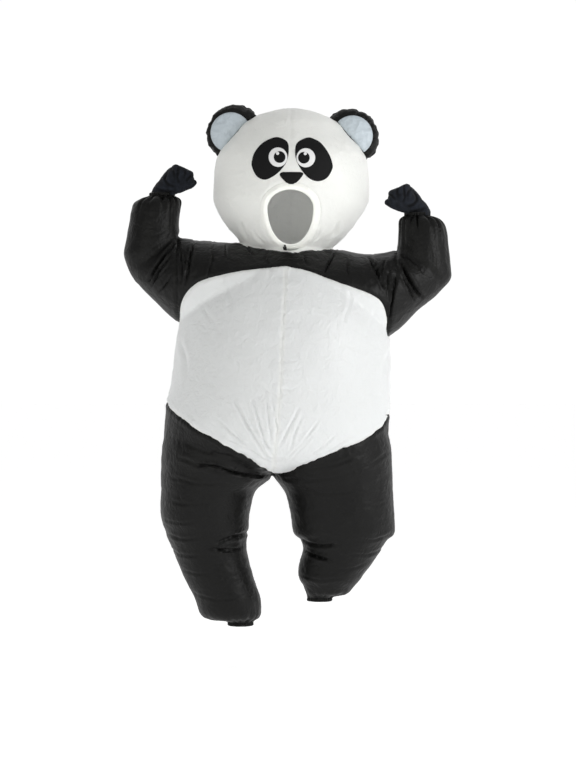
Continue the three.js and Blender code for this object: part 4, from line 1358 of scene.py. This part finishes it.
# Creases of the closed hand: depth, half width, line on the front view.
HAND_CREASES = ((4.5, 4.5, ((-389, 302), (-397, 277), (-386, 259), (-366, 251))),
                (4.0, 4.0, ((-352, 321), (-354, 300), (-356, 280), (-350, 262))),
                (4.5, 4.0, ((-303, 290), (-317, 282), (-327, 270))),
                (3.5, 5.0, ((-428, 247), (-396, 236), (-368, 235))),
                (2.5, 4.5, ((-376, 312), (-366, 292), (-364, 269))),
                (3.0, 4.0, ((-334, 308), (-330, 296), (-334, 284))))
# From the left glove's place to the right glove's, which is its mirror image: across and down.
GLOVE_MIRROR, GLOVE_DROP = 33, 64


class PANDA_OT_gloves(bpy.types.Operator):
    """Knits the two closed paw gloves with folded fingers and thumb"""
    bl_idname = "panda.gloves"
    bl_label = "Paw gloves"

    def execute(self, context):
        for side in ("left", "right"):
            def placed(point):
                x, y, z = point
                return (x, y, z) if side == "left" else (GLOVE_MIRROR - x, y, z - GLOVE_DROP)

            parts = [tube([(*placed((x, 0, z))[::2], half, deep, tilt if side == "left" else -tilt)
                           for x, z, half, deep, tilt in PALM], around=48, step=5)]
            for depth, *joints, thick in FINGERS:
                chain = [placed((x, depth, z)) for x, z in joints]
                for index in range(3):
                    parts.append(rounded(chain[index], chain[index + 1], thick * (1.08 - 0.07 * index),
                                         thick * (1.0 - 0.07 * index)))
            for index, (start, end) in enumerate(THUMB):
                parts.append(rounded(placed(start), placed(end), (15, 13, 12)[index], (13, 12, 11)[index]))
            parts += [rounded(placed(start), placed(end), 22, 20) for start, end in CORES]
            glove = blended("cloth_glove_" + side, parts, GLOVE_VOXEL, GLOVE_ROUNDS)
            sheet = opened(glove)
            base = placed((0, 0, 209))[2]
            cut(sheet, lambda spots: spots[:, 2] - base, everywhere)
            gone = [face for face in sheet.faces if face.calc_center_median().z < base * MM]
            bmesh.ops.delete(sheet, geom=gone, context="FACES")
            sheet.normal_update()
            sheet.verts.index_update()
            spots = np.array([vertex.co[:] for vertex in sheet.verts]) / MM
            over_cuff = np.exp(-np.clip(spots[:, 2] - base, 0, 99) / 22)
            wrinkle = 1.3 * wander(spots * np.array([0.35, 0.35, 1.0]), 7, 2.0) * over_cuff
            wrinkle += 1.9 * wander(spots, 19, 5.0) + 0.8 * wander(spots, 8, 9.0)
            flat = spots[:, [0, 2]] if side == "left" else np.stack([GLOVE_MIRROR - spots[:, 0],
                                                                     spots[:, 2] + GLOVE_DROP], axis=1)
            for depth, width, line in HAND_CREASES:
                away, along = from_line(flat, smooth_line(line, 5))
                profile = 0.3 * np.exp(-((away - 1.6 * width) / width) ** 2) - np.exp(-(away / width) ** 2)
                wrinkle += depth * profile * np.sin(np.pi * np.clip(along, 0, 1)) ** 0.6
            for vertex, height in zip(sheet.verts, wrinkle):
                vertex.co += vertex.normal * float(height) * MM
            put_back(sheet, glove)
            # The fold heights, which the knit turns into painted shade in the creases and painted light on the ridges.
            mark(glove, "fold", wrinkle)
            shade_smooth(glove.data)
            thicken(glove, "knit", GLOVE_WALL)
            hand_in(glove, "glove_knit", "glove_" + side)
        return {"FINISHED"}


# ---------------------------------------------------------------- floor, light and camera
class PANDA_OT_stage(bpy.types.Operator):
    """Adds the pale floor, the soft studio light and the camera"""
    bl_idname = "panda.stage"
    bl_label = "Floor, light and camera"

    def execute(self, context):
        scene = context.scene
        scene.view_settings.view_transform = "Standard"
        light_settings = scene.panda_light
        deselect()
        bpy.ops.mesh.primitive_grid_add(x_subdivisions=8, y_subdivisions=8, size=FLOOR_SIZE,
                                        location=(0, 0, FLOOR_HEIGHT))
        floor = context.object
        floor.name = "floor"
        bpy.ops.object.transform_apply(location=True, rotation=False, scale=False)
        floor.data.materials.append(pale_floor(colour((243, 243, 243)), light_settings.floor))
        world = bpy.data.worlds.new("studio")
        world.use_nodes = True
        tree = world.node_tree
        # white behind the suit and dimmer in front of it
        coordinates, parts = tree.nodes.new("ShaderNodeTexCoord"), tree.nodes.new("ShaderNodeSeparateXYZ")
        ramp = tree.nodes.new("ShaderNodeMapRange")
        ramp.interpolation_type = "SMOOTHSTEP"
        for socket, value in (("From Min", -0.1), ("From Max", 0.8), ("To Min", light_settings.front),
                              ("To Max", light_settings.room)):
            ramp.inputs[socket].default_value = value
        tree.links.new(coordinates.outputs["Generated"], parts.inputs[0])
        tree.links.new(parts.outputs["Y"], ramp.inputs["Value"])
        tree.links.new(ramp.outputs[0], tree.nodes["Background"].inputs["Strength"])
        tree.nodes["Background"].inputs["Color"].default_value = (1.0, 1.0, 1.0, 1)
        scene.world = world
        plain, warm = (1.0, 1.0, 1.0), (1.0, 0.995, 0.94)
        for name, place, aim, size, power, tone in (
                ("key", (4.4, -2.6, 0.9), (0, 0, -0.2), 2.0, light_settings.key, plain),
                ("fill", (-2.2, -4.6, 0.2), (0, 0, -0.3), 4.0, light_settings.fill, warm),
                ("top", (0.2, -1.5, 3.3), (0, 0, 0.1), 2.4, light_settings.top, plain)):
            light = bpy.data.lights.new(name, "AREA")
            light.shape, light.size, light.energy, light.color = "SQUARE", size, power, tone
            lamp = bpy.data.objects.new(name, light)
            lamp.location = place
            lamp.rotation_euler = (Vector(aim) - Vector(place)).to_track_quat("-Z", "Y").to_euler()
            context.collection.objects.link(lamp)
        lens = bpy.data.cameras.new("camera")
        lens.lens, lens.sensor_width, lens.sensor_fit = 99.45, 36, "AUTO"
        lens.clip_end = 200
        camera = bpy.data.objects.new("camera", lens)
        camera.location = [part * MM for part in VIEWER]
        camera.rotation_euler = (math.radians(90), 0, 0)
        context.collection.objects.link(camera)
        scene.camera = camera
        return {"FINISHED"}


# ---------------------------------------------------------------- sizes, colours and the sidebar
def shade(name, description, value):
    return FloatVectorProperty(name=name, description=description, subtype="COLOR", size=4, min=0, max=1,
                               default=colour(value))


class PandaSizes(bpy.types.PropertyGroup):
    cloth_thickness: FloatProperty(name="Cloth thickness", description="How thick the nylon is drawn", default=0.0012,
                                   min=0.0004, max=0.003, unit="LENGTH", precision=4)
    band_padding: FloatProperty(name="Band padding", description="How far the band round the face stands up",
                                default=0.004, min=0.001, max=0.01, unit="LENGTH", precision=4)


class PandaColours(bpy.types.PropertyGroup):
    white: shade("White nylon", "Cloth of the head", (245, 247, 240))
    belly: shade("Body nylon", "The slightly cooler white of the body", (231, 234, 234))
    black: shade("Black nylon", "Cloth of the yoke, sleeves, legs and ear rims", (9, 9, 8))
    ear_grey: shade("Ear panel", "Pale cloth of the ears' front panels", (188, 198, 205))
    face_black: shade("Black applique", "Cloth of the eye patches, pupils and nose", (10, 10, 11))
    face_white: shade("White applique", "Cloth of the eye whites", (226, 226, 226))
    glove: shade("Glove knit", "Yarn of the paw gloves", (22, 25, 31))


class PandaLight(bpy.types.PropertyGroup):
    room: FloatProperty(name="Room", description="Strength of the white ground behind the suit", default=1.02, min=0)
    front: FloatProperty(name="Room in front", description="Strength of the even light from the front", default=0.33,
                         min=0)
    key: FloatProperty(name="Key light", description="Power of the light at the right", default=112, min=0,
                       unit="POWER")
    fill: FloatProperty(name="Fill light", description="Power of the light at the front left", default=42, min=0,
                        unit="POWER")
    floor: FloatProperty(name="Floor glow", description="How brightly the pale floor is lit from inside", default=0.5,
                         min=0)
    top: FloatProperty(name="Top light", description="Power of the light overhead", default=10, min=0, unit="POWER")


STEPS = (PANDA_OT_suit_panels, PANDA_OT_face_band, PANDA_OT_zip_end, PANDA_OT_ears, PANDA_OT_face, PANDA_OT_elastics,
         PANDA_OT_gloves, PANDA_OT_stage)


class PANDA_PT_costume(bpy.types.Panel):
    """The steps that sew the costume"""
    bl_idname = "PANDA_PT_costume"
    bl_label = "Panda costume"
    bl_space_type = "VIEW_3D"
    bl_region_type = "UI"
    bl_category = "Costume"

    def draw(self, context):
        column = self.layout.column()
        for group in (context.scene.panda_sizes, context.scene.panda_colours, context.scene.panda_light):
            for name in group.__annotations__:
                column.prop(group, name)
        for step in STEPS:
            column.operator(step.bl_idname)


GROUPS = (("panda_sizes", PandaSizes), ("panda_colours", PandaColours), ("panda_light", PandaLight))


def register():
    for name, group in GROUPS:
        bpy.utils.register_class(group)
        setattr(bpy.types.Scene, name, PointerProperty(type=group))
    for step in STEPS + (PANDA_PT_costume,):
        bpy.utils.register_class(step)


def unregister():
    for step in reversed(STEPS + (PANDA_PT_costume,)):
        bpy.utils.unregister_class(step)
    for name, group in reversed(GROUPS):
        delattr(bpy.types.Scene, name)
        bpy.utils.unregister_class(group)


def main():
    register()
    for step in STEPS:
        family, _, name = step.bl_idname.partition(".")
        getattr(getattr(bpy.ops, family), name)()


if __name__ == "__main__":
    main()
